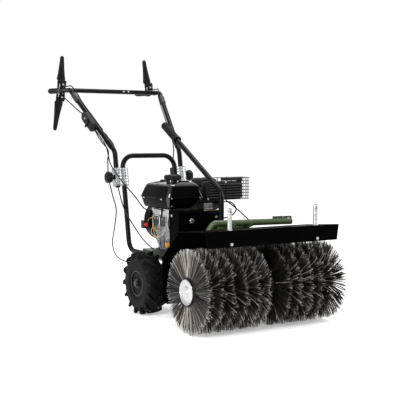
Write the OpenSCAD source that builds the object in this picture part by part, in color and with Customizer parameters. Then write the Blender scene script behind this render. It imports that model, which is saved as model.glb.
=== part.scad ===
// Power brush sweeper, in millimetres: +Z is up, the brush faces -Y and the operator stands at +Y.
// Every "back" size is measured behind the brush axis, and every "z" size above the floor.

/* [Brush] */
// Radius of the brush at the wire tips
brush_r = 175; // [160:1:178]
// Length of the roller, both halves and the gap between them
brush_len = 690; // [640:1:720]
// Radius of the backing that the wires grow from
backing_r = 60; // [56:1:75]
// Rows of wires in each half
brush_rows = 9; // [6:1:10]
// Wires around one row
row_wires = 20; // [16:1:22]
// Space between the two halves, where the bevel gear case runs
brush_gap = 52; // [50:1:70]
// Radius of the pressed end caps
cap_r = 52; // [40:1:54]
// Radius of the brush shaft
brush_shaft_r = 12; // [9:1:14]

/* [Bevel gear case] */
// Width of the case across the machine
case_w = 40; // [36:1:44]
// Radius of the case around the brush shaft
case_r = 56; // [50:1:62]
// Height of the case's flat neck
neck_h = 60; // [50:1:70]
// Radius of the shaft in the neck
head_shaft_r = 10; // [8:1:12]

/* [Hood] */
// Width of the hood
hood_w = 664; // [600:1:700]
// Thickness of the hood's sheet
sheet_t = 3; // [2:0.5:4]
// Reach of the apron ahead of the brush axis
apron_fwd = 126; // [115:1:140]
// Lower edge of the apron
apron_z = 362; // [355:1:375]
// Upper edge of the apron
hood_front_z = 429; // [415:1:445]
// Distance of the ridge behind the brush axis
hood_ridge_back = 94; // [70:1:110]
// Height of the ridge
hood_ridge_z = 410; // [400:1:425]
// Distance of the rear panel behind the brush axis
hood_rear_back = 237; // [230:1:237]
// Height where the rear panel meets the slanted panel
hood_slope_z = 287; // [260:1:300]
// Lower edge of the rear panel
hood_rear_z = 85; // [70:1:110]

/* [Hitch posts] */
// Distance of each post from the middle
post_x = 215; // [150:1:260]
// Radius of a post
post_r = 9; // [7:0.5:11]
// Height of the post's top
post_top_z = 517; // [480:1:560]
// Radius of the cross holes in a post
post_hole_r = 4.3; // [4.3:0.1:5]

/* [Swivel head] */
// Distance of the swivel axis behind the brush axis
pivot_back = 290; // [288:1:294]
// Radius of the king pin
king_r = 9; // [7:0.5:10]
// Radius of the chassis sleeve round the king pin
sleeve_r = 24; // [23:1:27]
// Radius of the green carrier tube
carrier_r = 14; // [10:0.5:14]
// Height of the carrier tube
carrier_z = 428; // [424:1:440]

/* [Swivel lever] */
// Radius of the lever's tube
lever_r = 12.5; // [11:0.5:13]
// Height of the bend in the lever
lever_bend_z = 555; // [553:1:570]
// Distance of the lever's end behind the brush axis
lever_end_back = 821; // [780:1:860]
// Height of the lever's end
lever_end_z = 860; // [840:1:900]
// Radius of the rubber grip on the lever
lever_grip_r = 19; // [16:0.5:20]
// Length of the rubber grip on the lever
lever_grip_len = 155; // [100:1:160]

/* [Chassis] */
// Outer face of each side rail from the middle
rail_x = 137; // [132:1:137]
// Width of a rail
rail_w = 20; // [15:1:24]
// Underside of the rails
rail_z = 215; // [212:1:218]
// Height of a rail
rail_h = 40; // [36:1:44]
// Rear end of the rails
rail_rear_back = 800; // [760:1:840]
// Height of the engine deck's top
deck_z = 270; // [266:1:274]
// Thickness of the deck plate
deck_t = 6; // [4:1:8]

/* [Wheels] */
// Radius of a wheel at the lugs
wheel_r = 141; // [135:1:145]
// Distance of the axle behind the brush axis
axle_back = 484; // [482:1:488]
// Outer face of each tyre from the middle
wheel_out_x = 334; // [328:1:336]
// Width of a tyre
tyre_w = 95; // [88:1:98]
// Height of the tread lugs
lug_h = 10; // [6:1:12]
// Lugs on each side of a tyre
tyre_lugs = 14; // [10:1:16]
// Radius of the rim under the tyre's bead
rim_r = 55; // [50:1:58]
// Radius of the axle
axle_r = 12.5; // [10:0.5:13]

/* [Engine] */
// Place of the crankshaft across the machine
crank_x = -130; // [-134:1:-126]
// Height of the crankshaft
crank_z = 415; // [413:1:417]
// Radius of the crankshaft
crank_r = 10; // [9:0.5:11]
// Lean of the cylinder above level
cylinder_lean = 25; // [23:1:27]
// Radius of the blower housing
blower_r = 98; // [90:1:100]

/* [Fuel tank] */
// Left edge of the tank's seam
tank_x = -226; // [-230:1:-224]
// Width of the tank at its seam
tank_w = 196; // [190:1:198]
// Length of the tank
tank_len = 272; // [262:1:276]
// Height of the tank's seam
tank_seam_z = 527; // [524:1:530]
// Height of the tank's top
tank_top_z = 598; // [588:1:600]
// Radius of the fuel cap
fuel_cap_r = 40; // [34:1:42]

/* [Muffler] */
// Left side of the muffler
muffler_x = -12; // [-14:1:-8]
// Width of the muffler
muffler_w = 196; // [188:1:200]
// Width of the guard beside the muffler
guard_w = 43; // [36:1:50]
// Underside of the muffler
muffler_z = 510; // [507:1:513]
// Height of the muffler
muffler_h = 86; // [80:1:88]

/* [Belt drive] */
// Left side of the belt cover
cover_x = -202; // [-206:1:-198]
// Width of the belt cover
cover_w = 224; // [220:1:232]
// Top of the belt cover
cover_top_z = 468; // [464:1:472]
// Groove radius of the engine pulley
engine_pulley_r = 30; // [26:1:32]
// Groove radius of the driven pulley
driven_pulley_r = 45; // [38:1:46]

/* [Handle loop] */
// Distance of each leg from the middle
leg_x = 150; // [149.8:0.1:154]
// Radius of all handle tubes
tube_r = 12.5; // [11:0.5:12.5]
// Wall of the handle tubes
tube_wall = 2.5; // [2:0.5:4]
// Height of the loop's feet along the rails
leg_foot_z = 235; // [230:1:238]
// Distance of the lower bend behind the brush axis
leg_bend_back = 917; // [900:1:930]
// Distance of the loop's top behind the brush axis
loop_top_back = 1000; // [985:1:1015]
// Height of the loop's top
loop_top_z = 707; // [690:1:725]

/* [Handlebar] */
// Drop of the clamp axis, which the handlebar tilts about, below the loop's top
clamp_drop = 107; // [100:1:115]
// Distance of the handlebar's tubes from the middle at the clamps
bar_low_x = 187; // [187:0.5:192]
// Distance of the handlebar's tubes from the middle at the top
bar_top_x = 272; // [255:1:290]
// Distance of the top bend behind the brush axis
bar_top_back = 1378; // [1350:1:1400]
// Height of the top bend
bar_top_z = 1054; // [1030:1:1080]
// Distance of the grips' ends behind the brush axis
grip_end_back = 1670; // [1650:1:1700]
// Length of a grip
grip_len = 135; // [110:1:140]
// Radius of a grip
grip_r = 15.5; // [15:0.5:17]

/* [Hand levers] */
// Length of an upper lever from its pivot
hand_lever_len = 157; // [120:1:170]
// Length of the lower lever from its pivot
low_lever_len = 185; // [150:1:190]
// Width of a lever's paddle at its root
hand_lever_w = 52; // [36:1:56]
// Thickness of a lever's paddle
hand_lever_t = 14; // [10:1:15]
// Lean of the levers across the bar
lever_lean = 6; // [0:1:8]
// Lean of the levers towards the grips at rest
lever_back = 7; // [0:1:10]
// Radius of a lever's pivot pin
hand_pin_r = 3; // [2.5:0.5:4]

/* [Cables] */
// Radius of a cable's outer sheath
cable_r = 3; // [2:0.5:3.5]

/* [Hidden] */
$fn = 48;

// General sizes: overrun of cuts, clearance between fixed pieces, and running clearance of shafts
over = 1;
gap = 0.3;
fit = 0.08;
half_share = 0.5;

// Colours
green = [0.30, 0.37, 0.22];
black = [0.06, 0.06, 0.06];
zinc = [0.78, 0.79, 0.80];
steel = [0.55, 0.56, 0.57];
alloy = [0.66, 0.67, 0.66];
rubber = [0.08, 0.08, 0.08];
wire = [0.33, 0.30, 0.27];
red = [0.80, 0.08, 0.06];
yellow = [0.92, 0.62, 0.08];

// The machine is built behind the brush axis, then set so that its box stands over the origin
brush_y = (brush_r - grip_end_back) / 2;

module machine() {
    translate([0, brush_y, 0]) children();
}

module sides() {
    for (side = [0, 1]) mirror([side, 0, 0]) children();
}

module block(x, y, z) {
    translate([x[0], y[0], z[0]]) cube([x[1] - x[0], y[1] - y[0], z[1] - z[0]]);
}

module x_round(r, x, y, z) {
    translate([x[0], y, z]) rotate([0, 90, 0]) cylinder(r = r, h = x[1] - x[0]);
}

module y_round(r, x, y, z) {
    translate([x, y[0], z]) rotate([-90, 0, 0]) cylinder(r = r, h = y[1] - y[0]);
}

module z_round(r, x, y, z) {
    translate([x, y, z[0]]) cylinder(r = r, h = z[1] - z[0]);
}

// Turns a profile of radius and place about an axis along X or along Y
module x_turned(x, y, z) {
    translate([x, y, z]) rotate([0, 90, 0]) rotate_extrude() children();
}

module y_turned(x, y, z) {
    translate([x, y, z]) rotate([-90, 0, 0]) rotate_extrude() children();
}

// Bent tubes: straight runs between the points, with a round elbow of one radius at each inner point
upright_share = 0.9;

function unit(v) = v / norm(v);
function turn_angle(a, b, c) = acos(max(-1, min(1, unit(b - a) * unit(c - b))));
function elbow_cut(a, b, c, bend) = bend * tan(turn_angle(a, b, c) / 2);
function run_start(p, i, bend) =
    i == 0 ? p[0] : p[i] + unit(p[i + 1] - p[i]) * elbow_cut(p[i - 1], p[i], p[i + 1], bend);
function run_end(p, i, bend) =
    i + 2 == len(p) ? p[i + 1]
    : p[i + 1] - unit(p[i + 1] - p[i]) * elbow_cut(p[i], p[i + 1], p[i + 2], bend);

module framed(x, y, z, at) {
    multmatrix([
        [x[0], y[0], z[0], at[0]],
        [x[1], y[1], z[1], at[1]],
        [x[2], y[2], z[2], at[2]],
        [0, 0, 0, 1]
    ]) children();
}

module along(p, q) {
    z = unit(q - p);
    x = unit(cross(abs(z[2]) < upright_share ? [0, 0, 1] : [1, 0, 0], z));
    framed(x, cross(z, x), z, p) children();
}

module ring(r, wall) {
    difference() {
        circle(r = r);
        if (wall < r) circle(r = r - wall);
    }
}

module run(p, q, r, wall) {
    along(p, q) linear_extrude(height = norm(q - p)) ring(r, wall);
}

// An elbow lies a hair under the skin of the runs that it joins, and sinks a little way into their walls
elbow_step = 0.05;
elbow_sink = 1.5;

module elbow(a, b, c, bend, r, wall) {
    ahead = unit(b - a);
    start = b - ahead * elbow_cut(a, b, c, bend);
    next = unit(c - b);
    centre = start + unit(next - ahead * (next * ahead)) * bend;
    out = unit(start - centre);
    sink = asin(elbow_sink / bend);
    framed(out, ahead, cross(out, ahead), centre)
        rotate([0, 0, -sink]) rotate_extrude(angle = turn_angle(a, b, c) + 2 * sink)
            translate([bend, 0]) ring(r - elbow_step, wall < r ? wall - 2 * elbow_step : r);
}

module bent_tube(points, bend, r, wall) {
    for (i = [0 : len(points) - 2])
        run(run_start(points, i, bend), run_end(points, i, bend), r, wall);
    for (i = [1 : 1 : len(points) - 2])
        elbow(points[i - 1], points[i], points[i + 1], bend, r, wall);
}

// A bolt along +Z: hexagon head below zero, shank through the grip, nut on the far side
bolt_r = 4;
bolt_head_r = 7;
bolt_head_h = 5;
bolt_hole_r = bolt_r + gap;

module hex_bolt(grip) {
    translate([0, 0, -bolt_head_h]) cylinder(r = bolt_head_r, h = bolt_head_h, $fn = 6);
    cylinder(r = bolt_r, h = grip + bolt_head_h);
    translate([0, 0, grip]) cylinder(r = bolt_head_r, h = bolt_head_h, $fn = 6);
}

// Brush
brush_z = brush_r;
half_len = brush_len / 2;
gap_x = brush_gap / 2;
backing_t = 4;
drum_wall = 4;
drum_web = 6;
drum_r = (backing_r - backing_t) * cos(180 / (2 * row_wires)) - gap;
drum_in_r = drum_r - drum_wall;
wire_root_w = 7;
wire_tip_w = 4;
backing_inset = 3;
cap_t = 3;
cap_dish = 4;
cap_bolt_r = 9;
cap_bolt_h = 5;

module brush_shaft() {
    color(steel) machine() x_round(brush_shaft_r, [-half_len, half_len], 0, brush_z);
}

module brush_drums() {
    bore = brush_shaft_r + gap;
    span = half_len - gap_x;
    color(black) machine() sides() x_turned(gap_x, 0, brush_z) polygon([
        [bore, 0], [drum_r, 0], [drum_r, span], [bore, span],
        [bore, span - drum_web], [drum_in_r, span - drum_web], [drum_in_r, drum_web], [bore, drum_web]
    ]);
}

// Wires: a grid on the backing has narrow cells, and each cell where a narrow row meets a narrow
// column is drawn out to a wire. Points run along X first by station, then round by column.
wire_from = gap_x + backing_inset;
wire_to = half_len - backing_inset;
row_pitch = (wire_to - wire_from) / brush_rows;
columns = 2 * row_wires;
stations = 2 * brush_rows + 2;
backing_in_r = backing_r - backing_t;

function row_mid(k) = wire_from + (k + half_share) * row_pitch;
function station_x(i) =
    i == 0 ? wire_from : i == stations - 1 ? wire_to
    : row_mid(floor((i - 1) / 2)) + (i % 2 == 1 ? -wire_root_w : wire_root_w) / 2;
function station_row(i) = max(0, min(brush_rows - 1, floor((i - 1) / 2)));
function row_turn(k) = k % 2 == 0 ? -90 : -90 + 180 / row_wires;
function wire_angle(k, c, r, w) =
    row_turn(k) + floor(c / 2) * 360 / row_wires + (c % 2 == 0 ? -1 : 1) * asin(w / (2 * r));
function on_round(x, r, a) = [x, r * cos(a), r * sin(a)];
function wire_tip(k, j, corner) =
    on_round(
        row_mid(k) + (corner == 0 || corner == 3 ? -wire_tip_w : wire_tip_w) / 2,
        sqrt(brush_r * brush_r - wire_tip_w * wire_tip_w / 4),
        wire_angle(k, 2 * j + (corner > 1 ? 1 : 0), brush_r, wire_tip_w)
    );
function backing_points() = [
    for (i = [0 : stations - 1]) for (c = [0 : columns - 1])
        on_round(station_x(i), backing_r, wire_angle(station_row(i), c, backing_r, wire_root_w))
];
function bore_points() = [
    for (i = [0, stations - 1]) for (c = [0 : columns - 1])
        on_round(station_x(i), backing_in_r, wire_angle(station_row(i), c, backing_r, wire_root_w))
];
function tip_points() = [
    for (k = [0 : brush_rows - 1]) for (j = [0 : row_wires - 1]) for (corner = [0 : 3]) wire_tip(k, j, corner)
];
function outer_at(i, c) = i * columns + c % columns;
function bore_at(e, c) = (stations + e) * columns + c % columns;
function tip_at(k, j, corner) = (stations + 2) * columns + (k * row_wires + j) * 4 + corner % 4;
function root_at(k, j, corner) =
    outer_at(2 * k + 1 + (corner % 4 == 1 || corner % 4 == 2 ? 1 : 0), 2 * j + (corner % 4 > 1 ? 1 : 0));
function split(q) = [[q[0], q[1], q[2]], [q[0], q[2], q[3]]];
function backing_faces() = [
    for (i = [0 : stations - 2]) for (c = [0 : columns - 1]) if (i % 2 == 0 || c % 2 == 1)
        each split([outer_at(i, c), outer_at(i + 1, c), outer_at(i + 1, c + 1), outer_at(i, c + 1)])
];
function rim_faces() = [
    for (c = [0 : columns - 1]) each concat(
        split([outer_at(0, c), outer_at(0, c + 1), bore_at(0, c + 1), bore_at(0, c)]),
        split([outer_at(stations - 1, c + 1), outer_at(stations - 1, c), bore_at(1, c), bore_at(1, c + 1)]),
        split([bore_at(0, c), bore_at(0, c + 1), bore_at(1, c + 1), bore_at(1, c)])
    )
];
function wire_faces() = [
    for (k = [0 : brush_rows - 1]) for (j = [0 : row_wires - 1]) each concat(
        split([for (n = [0 : 3]) tip_at(k, j, n)]),
        [for (n = [0 : 3]) each split([
            tip_at(k, j, n + 1), tip_at(k, j, n), root_at(k, j, n), root_at(k, j, n + 1)
        ])]
    )
];

module bristles() {
    color(wire) machine() translate([0, 0, brush_z]) polyhedron(
        points = concat(backing_points(), bore_points(), tip_points()),
        faces = concat(backing_faces(), rim_faces(), wire_faces())
    );
}

module right_bristles() {
    mirror([1, 0, 0]) bristles();
}

module left_bristles() {
    bristles();
}

module brush_caps() {
    rim = cap_r - cap_t;
    color(zinc) machine() sides() {
        x_turned(half_len, 0, brush_z) polygon([
            [0, 0], [cap_r, 0], [cap_r, cap_t + cap_dish], [rim, cap_t + cap_dish],
            [rim - cap_dish, cap_t], [0, cap_t]
        ]);
        translate([half_len + cap_t, 0, brush_z]) rotate([0, 90, 0])
            cylinder(r = cap_bolt_r, h = cap_bolt_h, $fn = 6);
    }
}

// Bevel gear case
case_x = case_w / 2;
case_wall = 5;
case_in_r = case_r - case_wall;
neck_z = [brush_z - neck_h / 2, brush_z + neck_h / 2];
case_flange_t = 10;
case_flange_x = 60;
case_flange_rim = 14;
rear_in = hood_rear_back - sheet_t;
pinion_back = 30;
pinion_len = 12;
pinion_r = case_x - case_wall - 2 * gap;

module bevel_case() {
    color(black) machine() difference() {
        union() {
            x_round(case_r, [-case_x, case_x], 0, brush_z);
            block([-case_x, case_x], [0, rear_in], neck_z);
            block(
                [-case_flange_x, case_flange_x], [rear_in - case_flange_t, rear_in],
                [neck_z[0] - case_flange_rim, neck_z[1] + case_flange_rim]
            );
        }
        x_round(case_in_r, [case_wall - case_x, case_x - case_wall], 0, brush_z);
        x_round(brush_shaft_r + fit, [-case_x - over, case_x + over], 0, brush_z);
        y_round(head_shaft_r + fit, 0, [0, rear_in + over], brush_z);
    }
}

// Shafts and their ball joint under the swivel axis
joint_r = 22;
cup_r = 30;
cup_mouth = 5;
drive_shaft_r = 9;
worm_r = 13;

module head_shaft() {
    stem = pivot_back - pinion_back;
    color(steel) machine() y_turned(0, pivot_back, brush_z) difference() {
        union() {
            translate([0, -stem]) square([pinion_r, pinion_len]);
            translate([0, -stem]) square([head_shaft_r, stem]);
            intersection() {
                circle(r = cup_r);
                translate([0, -cup_r]) square([cup_r, cup_r + cup_mouth]);
            }
        }
        circle(r = joint_r + gap);
    }
}

module drive_shaft() {
    color(steel) machine() {
        translate([0, pivot_back, brush_z]) sphere(r = joint_r);
        y_round(drive_shaft_r, 0, [pivot_back, gearbox_rear - gearbox_wall], brush_z);
        y_round(worm_r, 0, [axle_back - worm_len / 2, axle_back + worm_len / 2], brush_z);
    }
}

// Hood: a bent sheet, drawn as its outer line and the same line set in by the sheet's thickness
apron_inset = 8.4;
hood_corner = 24;
hood_x = hood_w / 2;
hood_line = [
    [-apron_fwd, apron_z], [-apron_fwd, hood_front_z], [hood_ridge_back, hood_ridge_z],
    [hood_rear_back, hood_slope_z], [hood_rear_back, hood_rear_z]
];
post_back = sheet_t + gap + post_r - apron_fwd;
apron_bolt_z = apron_z + 3 * bolt_r;

function right_of(v) = [v[1], -v[0]];
function line_normal(p, i) = right_of(unit(p[i + 1] - p[i]));
function set_in(p, t) = [
    for (i = [0 : len(p) - 1])
        let (a = line_normal(p, max(0, i - 1)), b = line_normal(p, min(len(p) - 2, i)))
        p[i] + (a + b) * t / (1 + a * b)
];
function reversed(p) = [for (i = [len(p) - 1 : -1 : 0]) p[i]];

module brush_hood() {
    cut_t = sheet_t + 2 * over;
    color(black) machine() difference() {
        rotate([90, 0, 90]) translate([0, 0, -hood_x]) linear_extrude(height = hood_w)
            polygon(concat(hood_line, reversed(set_in(hood_line, sheet_t))));
        sides() {
            translate([0, over + sheet_t - apron_fwd, 0]) rotate([90, 0, 0]) linear_extrude(height = cut_t)
                polygon([
                    [hood_x - apron_inset, apron_z - over], [hood_x + over, apron_z - over],
                    [hood_x + over, hood_front_z]
                ]);
            translate([0, hood_rear_back + over, 0]) rotate([90, 0, 0]) linear_extrude(height = cut_t)
                polygon([
                    [hood_x - hood_corner, hood_rear_z - over], [hood_x + over, hood_rear_z - over],
                    [hood_x + over, hood_rear_z + hood_corner]
                ]);
            z_round(post_r + gap, post_x, post_back, [apron_z, post_top_z]);
            y_round(bolt_hole_r, post_x, [-apron_fwd - over, post_back], apron_bolt_z);
        }
        y_round(head_shaft_r + bolt_r, 0, [rear_in - over, hood_rear_back + over], brush_z);
    }
}

// Hitch posts behind the apron
post_wall = 3;
post_hole_drop = 14;
post_collar = 4;

module hood_posts() {
    collar_z = hood_front_z + gap;
    color(zinc) machine() sides() difference() {
        union() {
            z_round(post_r, post_x, post_back, [apron_z, post_top_z]);
            z_round(post_r + post_wall, post_x, post_back, [collar_z, collar_z + post_collar]);
        }
        z_round(post_r - post_wall, post_x, post_back, [apron_z - over, post_top_z + over]);
        for (z = [apron_bolt_z, post_top_z - post_hole_drop])
            y_round(post_hole_r, post_x, [post_back - post_r - over, post_back + post_r + over], z);
    }
}

module apron_bolts() {
    color(zinc) machine() sides() translate([post_x, -apron_fwd, apron_bolt_z]) rotate([-90, 0, 0])
        hex_bolt(sheet_t + 2 * gap + 2 * post_r);
}

// Head frame: rear plate with two lugs on the king pin, and the carrier tube over the hood
lug_r = 20;
lug_t = 14;
lug_low_z = 247;
lug_top_z = 385;
head_plate_t = 8;
head_plate_x = 70;
head_plate_z = 120;
carrier_bend = 30;
carrier_left = [-118, 165, carrier_z];
carrier_right = [245, 95, carrier_z];
carrier_foot_x = -165;
carrier_foot_back = 178;
foot_r = 20;
foot_t = 6;
strut_x = 40;
strut_t = 8;
strut_h = 26;
hitch_lug_len = 90;
hitch_lug_t = 8;
hitch_lug_h = 10;
slope_run = [hood_rear_back - hood_ridge_back, hood_slope_z - hood_ridge_z];
slope_angle = atan2(slope_run[1], slope_run[0]);

function slope_z(back) = hood_ridge_z + (back - hood_ridge_back) * slope_run[1] / slope_run[0];

module head_frame() {
    plate = [hood_rear_back, hood_rear_back + head_plate_t];
    top = lug_top_z + lug_t;
    foot_z = slope_z(carrier_foot_back);
    color(green) machine() difference() {
        union() {
            block([-head_plate_x, head_plate_x], plate, [head_plate_z, hood_slope_z]);
            block([-strut_x - strut_t, strut_x + strut_t], plate, [head_plate_z, top]);
            for (z = [lug_low_z, lug_top_z]) {
                block([-lug_r, lug_r], [hood_rear_back, pivot_back], [z, z + lug_t]);
                z_round(lug_r, 0, pivot_back, [z, z + lug_t]);
            }
            sides() rotate([90, 0, 90]) translate([0, 0, strut_x]) linear_extrude(height = strut_t) polygon([
                [plate[0], top - strut_h], [plate[0], top],
                [carrier_left[1], carrier_z], [carrier_right[1], carrier_z],
                [carrier_right[1] + carrier_r, carrier_z - carrier_r]
            ]);
            bent_tube(
                [[carrier_foot_x, carrier_foot_back, foot_z + 3 * foot_t], carrier_left, carrier_right],
                carrier_bend, carrier_r, carrier_r
            );
            translate([carrier_foot_x, carrier_foot_back, foot_z]) rotate([slope_angle, 0, 0])
                translate([0, 0, gap]) cylinder(r = foot_r, h = 3 * foot_t);
            along(carrier_right, carrier_left)
                translate([-hitch_lug_t / 2, 0, 0])
                block([0, hitch_lug_t], [0, carrier_r + hitch_lug_h], [0, hitch_lug_len]);
        }
        z_round(king_r + gap, 0, pivot_back, [lug_low_z - over, top + over]);
        y_round(head_shaft_r + bolt_r, 0, [plate[0] - over, plate[1] + over], brush_z);
    }
}

king_head_r = 16;
king_head_h = 8;
king_top_z = 425;

module king_pin() {
    color(steel) machine() {
        z_round(king_r, 0, pivot_back, [lug_low_z - king_head_h, king_top_z]);
        z_round(king_head_r, 0, pivot_back, [lug_low_z - king_head_h, lug_low_z]);
    }
}

// Swivel lever
lever_bend = 60;
lever_start = [0, pivot_back, lug_top_z + lug_t];
lever_knee = [0, pivot_back, lever_bend_z];
lever_end = [0, lever_end_back, lever_end_z];
lever_wall = lever_r - king_r - 2 * gap;

module swivel_lever() {
    color(black) machine() bent_tube([lever_start, lever_knee, lever_end], lever_bend, lever_r, lever_wall);
}

module end_grip(end, inner, r, length, bore_r) {
    back = unit(inner - end);
    cap = r - bore_r;
    color(rubber) machine() difference() {
        union() {
            run(end - back * cap, end + back * (length - cap), r, r);
            along(end + back * (length - 2 * cap), inner) cylinder(r = r + cap / 2, h = cap);
        }
        run(end, inner, bore_r, bore_r);
    }
}

module lever_grip() {
    end = lever_end + unit(lever_end - lever_knee) * gap;
    end_grip(end, lever_knee, lever_grip_r, lever_grip_len, lever_r + gap);
}

// Chassis
plate_back = 312;
plate_t = 12;
tower_x = 60;
web_t = 14;
sleeve_z = [lug_low_z + lug_t + gap, lug_top_z - gap];
rail_top_z = rail_z + rail_h;
rail_in_x = rail_x - rail_w;
seat_t = 10;
cross_t = 30;
axle_z = wheel_r;
axle_plate_x = 120;
axle_plate_t = 12;
axle_plate_w = 90;
axle_plate_rim = 18;
bearing_r = 22;
bearing_flange_r = 28;
bearing_flange_t = 4;
loop_bolt_backs = [580, 760];

module chassis_frame() {
    color(green) machine() difference() {
        union() {
            sides() {
                block([rail_in_x, rail_x], [plate_back, rail_rear_back], [rail_z, rail_top_z]);
                block(
                    [axle_plate_x, axle_plate_x + axle_plate_t],
                    [axle_back - axle_plate_w / 2, axle_back + axle_plate_w / 2],
                    [axle_z - bearing_r - axle_plate_rim, rail_z]
                );
            }
            block([-rail_x, rail_x], [plate_back, plate_back + plate_t], [rail_z, rail_top_z]);
            block([-tower_x, tower_x], [plate_back, plate_back + plate_t], [rail_z, sleeve_z[1]]);
            z_round(sleeve_r, 0, pivot_back, sleeve_z);
            block([-web_t / 2, web_t / 2], [pivot_back, plate_back + plate_t], sleeve_z);
            block([-rail_in_x, rail_in_x], [gearbox_front, gearbox_rear], [rail_z, rail_z + seat_t]);
            block([-rail_in_x, rail_in_x], [rail_rear_back - cross_t, rail_rear_back], [rail_z, rail_top_z]);
        }
        z_round(king_r + fit, 0, pivot_back, [sleeve_z[0] - over, sleeve_z[1] + over]);
        x_round(bearing_r + gap, [-rail_x, rail_x], axle_back, axle_z);
        for (back = loop_bolt_backs) x_round(bolt_hole_r, [-rail_x - over, rail_x + over], back, leg_foot_z);
    }
}

module axle_bearings() {
    flange = axle_plate_x + axle_plate_t;
    color(steel) machine() sides() difference() {
        union() {
            x_round(bearing_r, [axle_plate_x, flange + bearing_flange_t], axle_back, axle_z);
            x_round(bearing_flange_r, [flange, flange + bearing_flange_t], axle_back, axle_z);
        }
        x_round(axle_r + fit, [axle_plate_x - over, flange + bearing_flange_t + over], axle_back, axle_z);
    }
}

deck_x = -224;
deck_front = 404;
deck_rear = 560;
deck_flange_t = 6;

module engine_deck() {
    color(green) machine() difference() {
        union() {
            block([deck_x, rail_x], [deck_front, deck_rear], [deck_z - deck_t, deck_z]);
            sides() block([rail_x - deck_flange_t, rail_x], [deck_front, deck_rear], [rail_top_z, deck_z]);
        }
        base_bolts() cylinder(r = bolt_hole_r, h = deck_t + 2 * over, center = true);
    }
}

// Axle gearbox
gearbox_half = 72;
gearbox_front = axle_back - gearbox_half;
gearbox_rear = axle_back + gearbox_half;
gearbox_x = 55;
gearbox_low_z = 85;
gearbox_wall = 14;
gearbox_boss_r = 28;
gearbox_boss = 15;
worm_len = 70;

module gearbox_case() {
    inner_x = gearbox_x - gearbox_wall;
    boss_x = gearbox_x + gearbox_boss;
    color(alloy) machine() difference() {
        union() {
            block([-gearbox_x, gearbox_x], [gearbox_front, gearbox_rear], [gearbox_low_z, rail_z]);
            x_round(gearbox_boss_r, [-boss_x, boss_x], axle_back, axle_z);
        }
        block(
            [-inner_x, inner_x], [gearbox_front + gearbox_wall, gearbox_rear - gearbox_wall],
            [gearbox_low_z + gearbox_wall, rail_z - gearbox_wall]
        );
        x_round(axle_r + fit, [-boss_x - over, boss_x + over], axle_back, axle_z);
        y_round(drive_shaft_r + fit, 0, [gearbox_front - over, gearbox_front + gearbox_wall + over], brush_z);
    }
}

// Wheels
axle_out = 4;
axle_end_x = wheel_out_x + axle_out;
tyre_x = wheel_out_x - tyre_w / 2;
rim_half = 42;
rim_wall = 3;
rim_flange = 5;
hub_r = 22;
disc_t = 6;
tyre_r = wheel_r - lug_h;
bead_half = rim_half - rim_wall - gap;
lug_w = 13;
lug_turn = 38;
lug_sink = 6;
lug_inset = 3;
// Half width of the tyre and height up the tyre, as shares, from the bead to the tread's middle
tyre_width_shares = [0.90, 1.00, 0.98, 0.84, 0.45];
tyre_height_shares = [0.14, 0.42, 0.76, 0.95, 1.00];

module axle() {
    color(steel) machine() x_round(axle_r, [-axle_end_x, axle_end_x], axle_back, axle_z);
}

module wheel_rims() {
    disc = disc_t / 2;
    in_r = rim_r - rim_wall;
    lip_r = rim_r + rim_flange;
    color(black) machine() sides() difference() {
        x_turned(tyre_x, axle_back, axle_z) polygon([
            [axle_r + gap, -rim_half], [hub_r, -rim_half], [hub_r, -disc], [in_r, -disc], [in_r, -rim_half],
            [lip_r, -rim_half], [lip_r, rim_wall - rim_half], [rim_r, rim_wall - rim_half],
            [rim_r, rim_half - rim_wall], [lip_r, rim_half - rim_wall], [lip_r, rim_half],
            [in_r, rim_half], [in_r, disc], [hub_r, disc], [hub_r, rim_half], [axle_r + gap, rim_half]
        ]);
        for (turn = [0 : 90 : 270]) translate([tyre_x, axle_back, axle_z]) rotate([turn, 0, 0])
            x_round(bolt_hole_r, [-disc - over, disc + over], (hub_r + in_r) / 2, 0);
    }
}

module lugs() {
    reach = tyre_w / 2;
    for (k = [0 : tyre_lugs - 1], s = [-1, 1])
        rotate([(k + (s + 1) / 4) * 360 / tyre_lugs, 0, 0]) translate([0, 0, tyre_r - lug_sink])
            rotate([0, 0, -s * lug_turn]) block(
                [min(0, s * reach), max(0, s * reach)], [-lug_w / 2, lug_w / 2], [0, lug_sink + lug_h]
            );
}

module tyre() {
    bead_r = rim_r + gap;
    side_r = rim_r + rim_flange + gap;
    half = tyre_w / 2;
    rise = tyre_r - bead_r;
    low = [for (i = [0 : len(tyre_width_shares) - 1])
        [max(side_r, bead_r + rise * tyre_height_shares[i]), -half * tyre_width_shares[i]]];
    left = concat([[bead_r, -bead_half], [side_r, -bead_half]], low);
    color(rubber) machine() translate([tyre_x, axle_back, axle_z]) {
        x_turned(0, 0, 0) polygon(concat(left, [for (p = reversed(left)) [p[0], -p[1]]]));
        intersection() {
            lugs();
            x_round(wheel_r, [lug_inset - half, half - lug_inset], 0, 0);
        }
    }
}

module right_tyre() {
    mirror([1, 0, 0]) tyre();
}

module left_tyre() {
    tyre();
}

// Engine block, with the base flange, crankcase and finned barrel
block_half = 75;
block_x = [crank_x - block_half, crank_x + block_half];
block_back = [413, 545];
block_top_z = 470;
base_rim = 10;
base_t = 12;
base_back = [405, 553];
barrel_foot = 60;
barrel_half = 36;
barrel_back = [448, 542];
fin_first = 122;
fin_t = 4;
fin_half = 46;
fin_rim = 5;
fins = 5;
head_x = [190, 232];
fin_pitch = (head_x[0] - fin_first) / fins;
tank_boss = 24;
base_bolt_inset = 6;

module in_cylinder() {
    translate([crank_x, 0, crank_z]) rotate([0, -cylinder_lean, 0]) children();
}

module base_bolts() {
    for (x = [block_x[0] - base_rim + 2 * base_bolt_inset, block_x[1] + base_rim - 2 * base_bolt_inset])
        for (back = [base_back[0] + 2 * bolt_head_r, base_back[1] - 2 * bolt_head_r])
            translate([x, back, deck_z - deck_t / 2]) children();
}

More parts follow.
